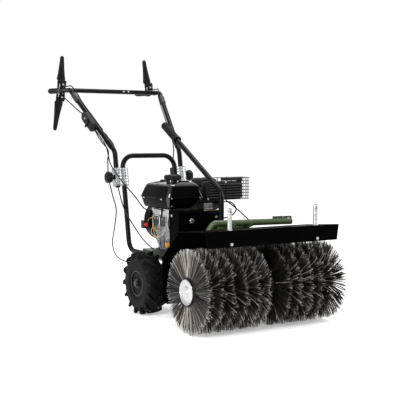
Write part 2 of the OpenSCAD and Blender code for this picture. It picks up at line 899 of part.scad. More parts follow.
module engine_block() {
    color(alloy) machine() difference() {
        union() {
            block([block_x[0] - base_rim, block_x[1] + base_rim], base_back, [deck_z, deck_z + base_t]);
            block([block_x[0] + 2 * base_rim, block_x[1] - 2 * base_rim], block_back, [deck_z, block_top_z]);
            intersection() {
                y_round(block_half, crank_x, block_back, crank_z);
                block(block_x, block_back, [deck_z, block_top_z]);
            }
            in_cylinder() {
                block([barrel_foot, head_x[0]], barrel_back, [-barrel_half, barrel_half]);
                for (i = [0 : fins - 1]) block(
                    [fin_first + i * fin_pitch, fin_first + i * fin_pitch + fin_t],
                    [barrel_back[0] - fin_rim, barrel_back[1] + fin_rim], [-fin_half, fin_half]
                );
            }
            for (back = block_back) block(
                [block_x[0] + tank_boss, block_x[1] - 2 * tank_boss],
                [min(back, block_back[1] - tank_boss), min(back, block_back[1] - tank_boss) + tank_boss],
                [block_top_z - over, tank_low_z - gap]
            );
        }
        y_round(crank_r + fit, crank_x, [block_back[0] - over, block_back[1] + over], crank_z);
        base_bolts() cylinder(r = bolt_hole_r, h = 3 * base_t, center = true);
        base_bolts() translate([0, 0, base_t + deck_t / 2]) cylinder(r = bolt_head_r + over, h = 3 * base_t);
    }
}

cover_flange_r = 70;
cover_boss_r = 26;
cover_boss = 6;

module crankcase_cover() {
    front = base_back[0];
    color(alloy) machine() difference() {
        union() {
            intersection() {
                y_round(cover_flange_r, crank_x, [front, block_back[0]], crank_z);
                block(block_x, [front, block_back[0]], [deck_z + base_t + gap, block_top_z]);
            }
            y_round(cover_boss_r, crank_x, [front - cover_boss, front], crank_z);
        }
        y_round(crank_r + fit, crank_x, [front - cover_boss - over, block_back[0] + over], crank_z);
    }
}

crank_back = [336, 592];

module crankshaft() {
    color(steel) machine() y_round(crank_r, crank_x, crank_back, crank_z);
}

head_half = 44;
head_fin_t = 5;
head_fins = 4;
rocker_t = 24;
rocker_half = 34;
rocker_inset = 12;

module cylinder_head() {
    groove = (head_x[1] - head_x[0]) / (head_fins + 1);
    depth = head_half / 4;
    color(alloy) machine() in_cylinder() difference() {
        block(head_x, barrel_back, [-head_half, head_half]);
        for (i = [0 : head_fins - 1], s = [0, 1]) mirror([0, 0, s]) block(
            [head_x[0] + groove * i + head_fin_t, head_x[0] + groove * (i + 1)],
            [barrel_back[0] - over, barrel_back[1] + over], [head_half - depth, head_half + over]
        );
        y_round(plug_r + gap, plug_x, [barrel_back[0] - over, plug_seat_back], plug_drop);
    }
}

module rocker_cover() {
    color(alloy) machine() in_cylinder()
        block(
            [head_x[1], head_x[1] + rocker_t], [barrel_back[0] + rocker_inset, barrel_back[1] - rocker_inset],
            [-rocker_half, rocker_half]
        );
}

// Spark plug in the head's front face, with its rubber cap
plug_r = 7;
plug_cap_r = 11;
plug_len = 34;
plug_x = (head_x[0] + head_x[1]) / 2;
plug_drop = -12;
plug_seat = 12;
plug_seat_back = barrel_back[0] + plug_seat;

module spark_plug() {
    color(black) machine() in_cylinder() {
        y_round(plug_r, plug_x, [barrel_back[0] - plug_len, plug_seat_back], plug_drop);
        y_round(plug_cap_r, plug_x, [barrel_back[0] - plug_len, barrel_back[0] - plug_r], plug_drop);
    }
}

// Blower housing and recoil starter at the rear of the engine
blower_back = [base_back[1] + gap, 605];
blower_wall = 3;
recoil_back = [605, 640];
recoil_r = 62;
mouth_lip = 12;
blower_mouth_r = recoil_r - mouth_lip;
recoil_edge = 14;
rope_off = [30, 22];
rope_x = crank_x + rope_off[0];
rope_z = crank_z + rope_off[1];
rope_r = 3;
rope_hole_r = 5;
rope_front = 562;
starter_grip_r = 9;
starter_grip_len = 64;

module blower_shape(inset) {
    front = blower_back[0] - (inset > 0 ? over : 0);
    intersection() {
        y_round(blower_r - inset, crank_x, [front, blower_back[1] - inset], crank_z);
        block(
            [crank_x - blower_r, crank_x + blower_r], [blower_back[0] - over, blower_back[1]],
            [deck_z, tank_low_z - gap - inset]
        );
    }
}

module blower_housing() {
    color(black) machine() difference() {
        blower_shape(0);
        blower_shape(blower_wall);
        y_round(blower_mouth_r, crank_x, [blower_back[1] - 2 * blower_wall, blower_back[1] + over], crank_z);
    }
}

module recoil_cover() {
    depth = recoil_back[1] - recoil_back[0];
    color(black) machine() difference() {
        y_turned(crank_x, recoil_back[0], crank_z) polygon([
            [recoil_r - blower_wall, 0], [recoil_r, 0], [recoil_r, depth - recoil_edge],
            [recoil_r - recoil_edge, depth], [0, depth], [0, depth - blower_wall],
            [recoil_r - recoil_edge - blower_wall, depth - blower_wall],
            [recoil_r - blower_wall, depth - recoil_edge - blower_wall]
        ]);
        y_round(rope_hole_r, rope_x, [recoil_back[0], recoil_back[1] + over], rope_z);
    }
}

module starter_grip() {
    back = recoil_back[1] + starter_grip_r + gap;
    color(black) machine() {
        y_round(rope_r, rope_x, [rope_front, back], rope_z);
        x_round(starter_grip_r, [rope_x - starter_grip_len / 2, rope_x + starter_grip_len / 2], back, rope_z);
    }
}

switch_w = 18;
switch_out = crank_x - blower_r - gap;
switch_x = [switch_out - switch_w, switch_out];
switch_back = [566, 600];
switch_z = [379, 415];
switch_r = 9;
switch_h = 10;
switch_stem_r = 4;
switch_mid_x = (switch_x[0] + switch_x[1]) / 2;
switch_mid_z = (switch_z[0] + switch_z[1]) / 2;

module switch_box() {
    color(black) machine() difference() {
        block(switch_x, switch_back, switch_z);
        translate([0, switch_back[0], 0])
            y_round(switch_stem_r + fit, switch_mid_x, [-over, switch_h], switch_mid_z);
    }
}

module engine_switch() {
    front = switch_back[0] - gap;
    color(red) machine() {
        y_round(switch_stem_r, switch_mid_x, [front - switch_h, front + switch_h - over], switch_mid_z);
        y_round(switch_r, switch_mid_x, [front - switch_h / 2, front], switch_mid_z);
        block(
            [switch_mid_x - switch_stem_r / 2, switch_mid_x + switch_stem_r / 2], [front - switch_h, front],
            [switch_mid_z - switch_r, switch_mid_z + switch_r]
        );
    }
}

dipstick_back = 436;
dipstick_up = 31;
dipstick_z = deck_z + base_t + dipstick_up;
dipstick_r = 12;
dipstick_len = 14;
dipstick_stem_r = 6;

module dipstick() {
    out = block_x[0] + 2 * base_rim - gap;
    color(yellow) machine() {
        x_round(dipstick_stem_r, [out - dipstick_len, out], dipstick_back, dipstick_z);
        for (turn = [0 : 60 : 120])
            translate([out - dipstick_len, dipstick_back, dipstick_z]) rotate([turn, 0, 0])
                block([-dipstick_stem_r, dipstick_stem_r], [-dipstick_r, dipstick_r], [-over, over]);
        x_round(dipstick_r - over, [out - dipstick_len / 2, out], dipstick_back, dipstick_z);
    }
}

// Fuel tank
tank_back = 382;
tank_low_z = 478;
tank_round = 22;
tank_wall = 4;
tank_span_x = [tank_x, tank_x + tank_w];
tank_span_y = [tank_back, tank_back + tank_len];
tank_top_inset = 12;
tank_low_inset_x = [16, 56];
tank_low_inset = 18;
seam_rim = 4;
seam_t = 4;
neck_r = 30;
neck_rise = 8;
cap_back = 480;
cap_share = 0.42;
fuel_cap_h = 24;
fuel_cap_x = tank_x + tank_w * cap_share;
cap_ribs = 12;

module rounded_slab(x, y, z, r, h) {
    for (px = [x[0] + r, x[1] - r], py = [y[0] + r, y[1] - r])
        translate([px, py, z]) cylinder(r = r, h = h, $fn = 32);
}

module tank_slab(left, right, ends, z, h) {
    rounded_slab(tank_span_x + [left, -right], tank_span_y + [ends, -ends], z, tank_round, h);
}

module tank_upper(wall) {
    inset = tank_top_inset + wall;
    hull() {
        tank_slab(wall, wall, wall, tank_seam_z - wall, tank_top_inset);
        tank_slab(inset, inset, inset, tank_top_z - wall - over, over);
    }
}

module tank_lower(wall) {
    inset = tank_low_inset + wall;
    hull() {
        tank_slab(wall, wall, wall, tank_seam_z - seam_t, seam_t + over);
        tank_slab(tank_low_inset_x[0] + wall, tank_low_inset_x[1] + wall, inset, tank_low_z + wall, over);
    }
}

module fuel_tank() {
    color(black) machine() difference() {
        union() {
            tank_upper(0);
            tank_lower(0);
            hull() rounded_slab(
                tank_span_x + [-seam_rim, seam_rim], tank_span_y + [-seam_rim, seam_rim],
                tank_seam_z - seam_t / 2, tank_round + seam_rim, seam_t
            );
            z_round(neck_r, fuel_cap_x, cap_back, [tank_top_z - over, tank_top_z + neck_rise]);
        }
        tank_upper(tank_wall);
        tank_lower(tank_wall);
        z_round(neck_r - tank_wall, fuel_cap_x, cap_back, [tank_seam_z, tank_top_z + neck_rise + over]);
    }
}

module fuel_cap() {
    low = tank_top_z + neck_rise + gap;
    color(black) machine() {
        z_round(fuel_cap_r - over, fuel_cap_x, cap_back, [low, low + fuel_cap_h]);
        for (i = [0 : cap_ribs - 1]) translate([fuel_cap_x, cap_back, low]) rotate([0, 0, i * 360 / cap_ribs])
            block([0, fuel_cap_r], [-over, over], [0, fuel_cap_h - 2 * over]);
    }
}

// Exhaust and intake beside the head
muffler_back = [396, 442];
slots = 6;
slot_share = 0.55;
slot_depth = 4;
slot_end = 10;
muffler_wall = 4;
exhaust_x = [62, 92];
exhaust_z = [512, 532];

module muffler() {
    x = [muffler_x, muffler_x + muffler_w];
    pitch = muffler_h / (slots + 1);
    color(black) machine() {
        difference() {
            block(x, muffler_back, [muffler_z, muffler_z + muffler_h]);
            block(
                [x[0] + muffler_wall, x[1] - muffler_wall],
                [muffler_back[0] + slot_depth + muffler_wall, muffler_back[1] - muffler_wall],
                [muffler_z + muffler_wall, muffler_z + muffler_h - muffler_wall]
            );
            for (i = [0 : slots - 1]) block(
                [x[0] + slot_end, x[1] - slot_end], [muffler_back[0] - over, muffler_back[0] + slot_depth],
                [muffler_z + pitch * (i + 1 - slot_share / 2), muffler_z + pitch * (i + 1 + slot_share / 2)]
            );
        }
        block(exhaust_x, [muffler_back[1], barrel_back[0]], exhaust_z);
    }
}

guard_wall = 3;
guard_rise = 16;
guard_slots = 7;

module muffler_guard() {
    x = [muffler_x + muffler_w, muffler_x + muffler_w + guard_w];
    z = [muffler_z, muffler_z + muffler_h + guard_rise];
    pitch = (z[1] - z[0]) / guard_slots;
    color(zinc) machine() difference() {
        block(x, muffler_back, z);
        block(
            [x[0] - over, x[1] - guard_wall], [muffler_back[0] + guard_wall, muffler_back[1] - guard_wall],
            [z[0] + guard_wall, z[1] - guard_wall]
        );
        for (i = [0 : guard_slots - 1]) block(
            [x[0] + 2 * guard_wall, x[1] + over], [muffler_back[0] - over, muffler_back[1] + over],
            [z[0] + pitch * i + guard_wall, z[0] + pitch * (i + 1) - guard_wall]
        );
    }
}

air_x = [5, 95];
air_back = [474, 575];
air_z = [566, 608];
air_round = 12;

module air_cleaner() {
    color(black) machine() hull() rounded_slab(air_x, air_back, air_z[0], air_round, air_z[1] - air_z[0]);
}

carb_x = [46, 84];
carb_len = 42;
carb_back = [barrel_back[1], barrel_back[1] + carb_len];
carb_z = [498, air_z[0]];
carb_bowl_r = 17;
carb_bowl = 24;

module carburettor() {
    mid_x = (carb_x[0] + carb_x[1]) / 2;
    mid_back = (carb_back[0] + carb_back[1]) / 2;
    color(alloy) machine() {
        block(carb_x, carb_back, carb_z);
        z_round(carb_bowl_r, mid_x, mid_back, [carb_z[0] - carb_bowl, carb_z[0] + over]);
    }
}

// Belt drive
pulley_back = [348, 372];
pulley_flange = 8;
pulley_lip = 4;
belt_t = 6;
belt_clear = 0.6;

module pulley(x, z, groove_r, bore_r) {
    w = pulley_back[1] - pulley_back[0];
    rim = groove_r + pulley_flange;
    y_turned(x, pulley_back[0], z) polygon([
        [bore_r, 0], [rim, 0], [rim, pulley_lip], [groove_r, pulley_lip], [groove_r, w - pulley_lip],
        [rim, w - pulley_lip], [rim, w], [bore_r, w]
    ]);
}

module engine_pulley() {
    color(steel) machine() pulley(crank_x, crank_z, engine_pulley_r, crank_r + gap);
}

module driven_pulley() {
    color(steel) machine() pulley(0, brush_z, driven_pulley_r, drive_shaft_r + gap);
}

module belt_line(grow) {
    hull() {
        translate([crank_x, crank_z]) circle(r = engine_pulley_r + grow);
        translate([0, brush_z]) circle(r = driven_pulley_r + grow);
    }
}

module drive_belt() {
    width = pulley_back[1] - pulley_back[0] - 2 * pulley_lip - 2 * belt_clear;
    color(rubber) machine() translate([0, pulley_back[1] - pulley_lip - belt_clear, 0]) rotate([90, 0, 0])
        linear_extrude(height = width) difference() {
            belt_line(belt_clear + belt_t);
            belt_line(belt_clear);
        }
}

cover_back = [plate_back + plate_t, 402];
cover_wall = 2.5;
cover_bolt_x = [-137, -8];
cover_bolt_z = [428, 441];
cover_side_bolt = [378, 450];

module belt_cover() {
    x = [cover_x, cover_x + cover_w];
    color(black) machine() difference() {
        block(x, cover_back, [rail_top_z + gap, cover_top_z]);
        block(
            [x[0] + cover_wall, x[1] - cover_wall], [cover_back[0] + cover_wall, cover_back[1] + over],
            [rail_top_z, cover_top_z - cover_wall]
        );
        cover_bolts() cylinder(r = bolt_hole_r, h = 2 * bolt_head_h, center = true);
    }
}

module cover_bolts() {
    for (i = [0, 1])
        translate([cover_bolt_x[i], cover_back[0], cover_bolt_z[i]]) rotate([-90, 0, 0]) children();
    translate([cover_x, cover_side_bolt[0], cover_side_bolt[1]]) rotate([0, 90, 0]) children();
}

module frame_bolts() {
    color(zinc) machine() {
        base_bolts() translate([0, 0, base_t + deck_t / 2]) rotate([180, 0, 0]) hex_bolt(base_t + deck_t);
        cover_bolts() hex_bolt(cover_wall);
        sides() for (back = loop_bolt_backs) translate([leg_x + tube_r, back, leg_foot_z]) rotate([0, -90, 0])
            hex_bolt(leg_x + tube_r - rail_in_x);
    }
}

// Handle loop: both legs, their feet along the rails and the top bar
loop_bend = 62;
leg_front = 556;
leg_low = [0, leg_bend_back, leg_foot_z];
leg_top = [0, loop_top_back, loop_top_z];
leg_way = unit(leg_top - leg_low);
leg_tilt = atan2(leg_way[1], leg_way[2]);
clamp_z = loop_top_z - clamp_drop;
clamp_back = leg_bend_back + (clamp_z - leg_foot_z) * leg_way[1] / leg_way[2];
clamp_bolt_r = 5;
clamp_hole_r = clamp_bolt_r + gap;

function side_point(s, p) = p + [s * leg_x, 0, 0];

module handle_loop() {
    color(black) machine() difference() {
        bent_tube([
            side_point(-1, [0, leg_front, leg_foot_z]), side_point(-1, leg_low), side_point(-1, leg_top),
            side_point(1, leg_top), side_point(1, leg_low), side_point(1, [0, leg_front, leg_foot_z])
        ], loop_bend, tube_r, tube_wall);
        sides() {
            for (back = loop_bolt_backs)
                x_round(bolt_hole_r, [leg_x - tube_r - over, leg_x + tube_r + over], back, leg_foot_z);
            x_round(clamp_hole_r, [leg_x - tube_r - over, leg_x + tube_r + over], clamp_back, clamp_z);
        }
    }
}

// Clamps between the loop and the handlebar
clamp_len = 90;
clamp_w = 44;
clamp_wall = 4;
clamp_face_x = leg_x + tube_r + clamp_wall + gap;

module at_clamp() {
    translate([0, clamp_back, clamp_z]) rotate([-leg_tilt, 0, 0]) children();
}

module clamp_block(x, tube_x) {
    difference() {
        block(x, [-clamp_w / 2, clamp_w / 2], [-clamp_len / 2, clamp_len / 2]);
        z_round(tube_r + gap, tube_x, 0, [-clamp_len / 2 - over, clamp_len / 2 + over]);
        x_round(clamp_hole_r, [x[0] - over, x[1] + over], 0, 0);
    }
}

module clamp_plates() {
    color(zinc) machine() sides() at_clamp()
        clamp_block([leg_x - tube_r - clamp_wall, clamp_face_x], leg_x);
}

jaw_in_x = clamp_face_x + gap;
jaw_out_x = bar_low_x + tube_r + clamp_wall;

// Knobs: lobed head, washer face and clamping bolt
knob_r = 29;
knob_lobe_r = 9;
knob_lobes = 6;
knob_t = 22;
knob_neck_r = 12;
knob_neck = 18;

module knob() {
    face = jaw_out_x + gap;
    tip = leg_x - tube_r - clamp_wall - 2 * bolt_head_h;
    color(black) machine() translate([0, clamp_back, clamp_z]) {
        x_round(clamp_bolt_r, [tip, face + knob_neck], 0, 0);
        x_round(knob_neck_r, [face, face + knob_neck], 0, 0);
        x_round(knob_r - knob_lobe_r / 2, [face + knob_neck, face + knob_neck + knob_t], 0, 0);
        for (i = [0 : knob_lobes - 1]) rotate([i * 360 / knob_lobes, 0, 0])
            x_round(knob_lobe_r, [face + knob_neck, face + knob_neck + knob_t], knob_r - knob_lobe_r, 0);
    }
}

module right_knob() {
    mirror([1, 0, 0]) knob();
}

module left_knob() {
    knob();
}

// Handlebar with the clamp jaws welded to its lower ends
bar_bend = 55;
bar_low_run = 52;
bar_knee_run = 132;
cross_back = 40;
bar_rise = 8;
bar_foot = [bar_low_x, clamp_back, clamp_z] - leg_way * bar_low_run;
bar_knee = [bar_low_x, clamp_back, clamp_z] + leg_way * bar_knee_run;
bar_bend_at = [bar_top_x, bar_top_back, bar_top_z];
grip_dip = grip_r * bar_rise / (grip_end_back - bar_top_back);
bar_end = [bar_top_x, grip_end_back - grip_r + tube_r - grip_dip, bar_top_z + bar_rise];
bar_way = unit(bar_end - bar_bend_at);
bar_slope = unit(bar_bend_at - bar_knee);

function on_bar(run) = bar_bend_at + bar_way * run;

module handlebar() {
    bar_cross = on_bar(cross_back);
    half = clamp_len / 2;
    color(black) machine() difference() {
        union() {
            sides() {
                bent_tube([bar_foot, bar_knee, bar_bend_at, bar_end], bar_bend, tube_r, tube_wall);
                at_clamp() difference() {
                    block([jaw_in_x, jaw_out_x], [-clamp_w / 2, clamp_w / 2], [-half, half]);
                    z_round(tube_r - tube_wall / 2, bar_low_x, 0, [-half - over, half + over]);
                }
            }
            difference() {
                x_round(tube_r - gap, [-bar_cross[0], bar_cross[0]], bar_cross[1], bar_cross[2]);
                sides() run(bar_bend_at, bar_end, tube_r - tube_wall / 2, tube_r);
            }
        }
        sides() x_round(clamp_hole_r, [jaw_in_x - over, jaw_out_x + over], clamp_back, clamp_z);
    }
}

module handle_grips() {
    sides_grip = bar_end + bar_way * gap;
    for (side = [0, 1]) mirror([side, 0, 0])
        end_grip(sides_grip, bar_bend_at, grip_r, grip_len, tube_r + gap);
}

// Lever brackets: a ring on the bar, with two ears that hold a lever's pin above it, below it or both
bracket_r = 18;
bracket_w = 22;
ear_t = 3;
ear_w = 20;
hand_hub_w = 14;
pivot_rise = 36;
cable_rise = bracket_r + cable_r + 2 * gap;
lever_run = 143;

// Places a lever or bracket on the bar: along +Z is away from the bar, +Y is towards the grip
module on_handle(side) {
    p = on_bar(lever_run);
    framed([1, 0, 0], bar_way, cross([1, 0, 0], bar_way), [side * p[0], p[1], p[2]])
        rotate([0, -side * lever_lean, 0]) children();
}

module bracket(sides_up) {
    ear_x = hand_hub_w / 2 + gap;
    stop_h = cable_rise + cable_r + over;
    difference() {
        union() {
            y_round(bracket_r, 0, [-bracket_w / 2, bracket_w / 2], 0);
            for (up = sides_up) mirror([0, 0, up]) {
                for (s = [0, 1]) mirror([s, 0, 0])
                    block([ear_x, ear_x + ear_t], [-ear_w / 2, ear_w / 2], [0, pivot_rise + 3 * hand_pin_r]);
                block([-ear_x - ear_t, ear_x + ear_t], [-bracket_w / 2, ear_t - bracket_w / 2], [0, stop_h]);
            }
        }
        y_round(tube_r + gap, 0, [-bracket_w / 2 - over, bracket_w / 2 + over], 0);
        for (up = sides_up) mirror([0, 0, up])
            x_round(hand_pin_r + fit, [-bracket_r, bracket_r], 0, pivot_rise);
    }
}

module lever_brackets() {
    color(zinc) machine() {
        on_handle(-1) bracket([0, 1]);
        on_handle(1) bracket([0]);
    }
}

// Hand levers: a hub between the ears, and a paddle that flares out beyond them and narrows to its tip
hand_tip_share = 0.35;
hand_hub_r = 11;
hand_flare = 15;
hand_root = 26;

module hand_lever(length) {
    neck = hand_hub_w / 2;
    pin_half = neck + gap + ear_t + over;
    root = hand_lever_w / 2;
    tip = root * hand_tip_share;
    color(black) translate([0, 0, pivot_rise]) rotate([-lever_back, 0, 0]) {
        rotate([90, 0, 0]) linear_extrude(height = hand_lever_t, center = true) polygon([
            [-neck, 0], [-neck, hand_flare], [-root, hand_root], [-tip, length],
            [tip, length], [root, hand_root], [neck, hand_flare], [neck, 0]
        ]);
        x_round(hand_hub_r, [-neck, neck], 0, 0);
        x_round(hand_pin_r, [-pin_half, pin_half], 0, 0);
    }
}

module left_lever() {
    machine() on_handle(1) hand_lever(hand_lever_len);
}

module right_lever() {
    machine() on_handle(-1) hand_lever(hand_lever_len);
}

module lower_lever() {
    machine() on_handle(-1) mirror([0, 0, 1]) hand_lever(low_lever_len);
}

// Throttle on the right-hand tube's outer side
throttle_run = 240;
throttle_r = 27;
throttle_half = 38;
throttle_t = 20;
throttle_x = [tube_r + gap, tube_r + gap + throttle_t];
throttle_stem_r = 5;
throttle_arm_w = 10;
throttle_arm_t = 5;
throttle_arm_len = 34;
throttle_strap = 16;
strap_wall = 4;
throttle_grip = tube_r + strap_wall;

// Local frame on the sloping tube: +X points outwards, +Z runs up the tube
slope_out = unit([1, 0, 0] - bar_slope * bar_slope[0]);

module on_slope() {
    p = bar_knee + bar_slope * throttle_run;
    mirror([1, 0, 0]) framed(slope_out, cross(bar_slope, slope_out), bar_slope, p) children();
}

module throttle_housing() {
    color(black) machine() on_slope() difference() {
        union() {
            for (z = [-throttle_half, throttle_half]) x_round(throttle_r, throttle_x, 0, z);
            block(throttle_x, [-throttle_r, throttle_r], [-throttle_half, throttle_half]);
            block([0, throttle_x[1]], [-throttle_grip, throttle_grip], [-throttle_strap, throttle_strap]);
        }
        z_round(tube_r + gap, 0, 0, [-throttle_strap - over, throttle_strap + over]);
        x_round(throttle_stem_r + fit, [throttle_x[1] - throttle_strap / 2, throttle_x[1] + over], 0, 0);
    }
}

module throttle_lever() {
    face = throttle_x[1] + gap;
    half_w = throttle_arm_w / 2;
    color(black) machine() on_slope() {
        x_round(throttle_stem_r, [face - throttle_strap / 2, face], 0, 0);
        x_round(throttle_arm_w, [face, face + throttle_arm_t], 0, 0);
        block([face, face + throttle_arm_t], [0, throttle_arm_len], [-half_w, half_w]);
    }
}

// Cables: eight-sided tubes swept along hand-chosen routes
cable_sides = 8;
// Places beside the bar's top run, its sloping run and its clamp, on the side given by the sign
function sided(s, p) = [s * p[0], p[1], p[2]];
function bar_point(s, run, off) = sided(s, on_bar(run)) + off;
function slope_point(s, share, off) = sided(s, bar_knee + (bar_bend_at - bar_knee) * share) + off;
function clamp_point(s, off) = sided(s, [bar_low_x, clamp_back, clamp_z]) + off;
cable_gap = 0.9;
cable_lead = 16;
lever_stop = lever_run - bracket_w / 2 - cable_gap;
slope_shares = [0.90, 0.78, 0.64, 0.48, 0.25, 0.08];
throttle_end = throttle_run - throttle_half - throttle_r - cable_gap;
throttle_off = slope_out * (throttle_x[0] + throttle_x[1]) / 2;
cover_right = cover_x + cover_w;
throttle_route = [
    sided(-1, bar_knee + bar_slope * throttle_end + throttle_off),
    sided(-1, bar_knee + bar_slope * (throttle_end - 3 * cable_lead) + throttle_off),
    slope_point(-1, slope_shares[5], [-30, -6, -4]), clamp_point(-1, [-34, 16, 84]),
    clamp_point(-1, [-28, -10, 46]), [-205, 870, 576], [-199, 761, 518], [-199, 690, 478],
    [-200, 650, 463], [-200, blower_back[1] + gap, 462]
];
clutch_route = [
    bar_point(-1, lever_stop, [0, 0, cable_rise]), bar_point(-1, cross_back, [0, 0, cable_rise]),
    bar_point(-1, 0, [10, 0, 20]), slope_point(-1, slope_shares[0], [20, 0, 8]),
    slope_point(-1, slope_shares[1], [20, 0, 0]), slope_point(-1, slope_shares[3], [20, 0, 0]),
    slope_point(-1, slope_shares[4], [20, 0, 0]), slope_point(-1, slope_shares[5], [20, 8, 0]),
    clamp_point(-1, [16, 58, 84]), clamp_point(-1, [16, 44, 0]), [-172, 985, 520], [-176, 930, 450],
    [-175, 872, 401], [-174, 752, 325], [-172, 660, 284], [-171, deck_rear + 2 * cable_lead, deck_z],
    [-171, deck_rear + cable_gap, deck_z - deck_t / 2]
];
drive_route = [
    bar_point(-1, lever_stop, [0, 0, -cable_rise]), slope_point(-1, slope_shares[1], [0, 24, -36]),
    slope_point(-1, slope_shares[2], [0, 17, -21]), slope_point(-1, slope_shares[3], [0, 15, -18]),
    slope_point(-1, slope_shares[4], [-10, 18, -22]), slope_point(-1, slope_shares[5], [-8, 20, -20]),
    clamp_point(-1, [-18, 70, 84]), clamp_point(-1, [-20, 58, 0]), [-204, 1000, 510], [-200, 966, 440],
    [-200, 985, 350], [-200, 1012, 265], [-200, 970, 205], [-185, 870, 182], [-120, 720, 172],
    [-50, 630, 170], [-24, gearbox_rear + 2 * cable_lead, 170], [-20, gearbox_rear + cable_gap, 170]
];
lift_route = [
    bar_point(1, lever_stop, [0, 0, cable_rise]), bar_point(1, cross_back, [0, 0, cable_rise]),
    bar_point(1, 0, [-10, 0, 20]), slope_point(1, slope_shares[0], [-20, 0, 8]),
    slope_point(1, slope_shares[1], [-20, 0, 0]), slope_point(1, slope_shares[3], [-20, 0, 0]),
    slope_point(1, slope_shares[4], [-20, 0, 0]), slope_point(1, slope_shares[5], [-20, 8, 0]),
    clamp_point(1, [-16, 58, 84]), clamp_point(1, [-16, 44, 0]), [172, 985, 520], [170, 900, 484],
    [154, 750, 488], [136, 600, 496], [130, 480, 496], [126, 400, 496], [118, 348, 468], [90, 346, 440],
    [cover_right + 2 * cable_lead, 356, 430], [cover_right + cable_gap, 360, 429]
];
lock_route = [[100, 406, muffler_z - cable_r - gap], [80, 270, 470], [59, 145, 432]];

function spline(p0, p1, p2, p3, t) =
    (2 * p1 + (p2 - p0) * t + (2 * p0 - 5 * p1 + 4 * p2 - p3) * t * t
        + (3 * p1 - p0 - 3 * p2 + p3) * t * t * t) / 2;
function route_at(p, i, t) =
    spline(p[max(0, i - 1)], p[i], p[i + 1], p[min(len(p) - 1, i + 2)], t);
function route_points(p, steps) = concat(
    [for (i = [0 : len(p) - 2]) for (s = [0 : steps - 1]) route_at(p, i, s / steps)], [p[len(p) - 1]]
);
function tangent(q, i) = unit(q[min(len(q) - 1, i + 1)] - q[max(0, i - 1)]);

module cable(route, steps) {
    q = route_points(route, steps);
    rings = len(q);
    points = [
        for (i = [0 : rings - 1])
            let (w = tangent(q, i), u = unit(cross([1, 0, 0], w)), v = cross(w, u))
            for (k = [0 : cable_sides - 1])
                q[i] + (u * cos(k * 360 / cable_sides) + v * sin(k * 360 / cable_sides)) * cable_r
    ];
    function at(i, k) = i * cable_sides + k % cable_sides;
    walls = [
        for (i = [0 : rings - 2]) for (k = [0 : cable_sides - 1])
            each split([at(i, k), at(i + 1, k), at(i + 1, k + 1), at(i, k + 1)])
    ];
    ends = [
        for (k = [1 : cable_sides - 2]) each [
            [at(0, 0), at(0, k), at(0, k + 1)],
            [at(rings - 1, 0), at(rings - 1, k + 1), at(rings - 1, k)]
        ]
    ];
    polyhedron(points = points, faces = concat(walls, ends));
}

module right_cables() {
    color(black) machine() {
        cable(throttle_route, 2);
        cable(drive_route, 2);
        cable(clutch_route, 2);
    }
}

module left_cables() {
    color(black) machine() {
        cable(lift_route, 2);
        cable(lock_route, 2);
    }
}

chassis_frame();
engine_deck();
frame_bolts();
gearbox_case();
axle_bearings();
axle();
wheel_rims();
left_tyre();
right_tyre();
engine_block();
crankcase_cover();
cylinder_head();
rocker_cover();
blower_housing();
recoil_cover();
starter_grip();
switch_box();
engine_switch();
dipstick();
fuel_tank();
fuel_cap();
muffler();
muffler_guard();
carburettor();
air_cleaner();
spark_plug();
crankshaft();
engine_pulley();
drive_belt();
belt_cover();
drive_shaft();
driven_pulley();
brush_hood();
head_frame();
king_pin();
hood_posts();
apron_bolts();
bevel_case();
head_shaft();
swivel_lever();
lever_grip();
brush_shaft();
brush_drums();
left_bristles();
right_bristles();
brush_caps();
handle_loop();
clamp_plates();
left_knob();
right_knob();
handlebar();
handle_grips();
lever_brackets();
left_lever();
lower_lever();
right_lever();
throttle_housing();
throttle_lever();
left_cables();
right_cables();
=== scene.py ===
import bpy
import random
from math import atan2, copysign, cos, pi, radians, sin, tan
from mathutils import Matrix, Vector


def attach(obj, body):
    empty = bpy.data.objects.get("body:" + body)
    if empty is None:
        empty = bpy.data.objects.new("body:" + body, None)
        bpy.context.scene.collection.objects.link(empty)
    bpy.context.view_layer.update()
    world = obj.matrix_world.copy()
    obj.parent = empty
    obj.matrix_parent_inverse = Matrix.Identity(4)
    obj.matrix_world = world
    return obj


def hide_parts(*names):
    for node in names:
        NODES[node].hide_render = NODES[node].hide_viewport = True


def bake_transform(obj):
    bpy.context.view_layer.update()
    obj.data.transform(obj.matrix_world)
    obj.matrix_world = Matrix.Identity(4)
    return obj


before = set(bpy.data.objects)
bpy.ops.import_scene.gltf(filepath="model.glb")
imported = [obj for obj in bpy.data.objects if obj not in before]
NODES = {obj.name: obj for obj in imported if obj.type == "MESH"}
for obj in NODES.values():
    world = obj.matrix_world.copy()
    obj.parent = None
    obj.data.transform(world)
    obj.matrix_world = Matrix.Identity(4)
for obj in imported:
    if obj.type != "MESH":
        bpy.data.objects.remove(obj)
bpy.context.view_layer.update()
SCENE = bpy.context.scene

# Forms are in millimetres, with y measured from the brush axis as in the part's source; place() turns a point
# into the frame's metres
BRUSH_Y = -747.5
MM = 0.001
SIDES = ((1, "left"), (-1, "right"))
LEFT, RIGHT = (1, 0, 0), (-1, 0, 0)
FRONT, REAR = (0, -1, 0), (0, 1, 0)
UP, DOWN = (0, 0, 1), (0, 0, -1)


def place(p):
    return Vector((p[0], p[1] + BRUSH_Y, p[2])) * MM


# Materials, with lengths in metres and noise scales per metre

# Where most of a noise's values lie
NOISE = (0.3, 0.7)
# Height of a normal, and product of its level parts, between which lacquer sets in on upper faces and corners
UPPER, CORNER = (0.48, 0.68), (0.26, 0.42)
# Cosine between a face's normal and its bevelled one, on a flat and at an edge
EDGE_COSINE = (0.995, 0.85)
PAINT_EDGE, METAL_EDGE, CAST_EDGE = 0.0009, 0.0008, 0.0014
SCRATCH_STRETCH = (1.0, 1.0, 0.06)
GREY = (0.10, 0.10, 0.104)


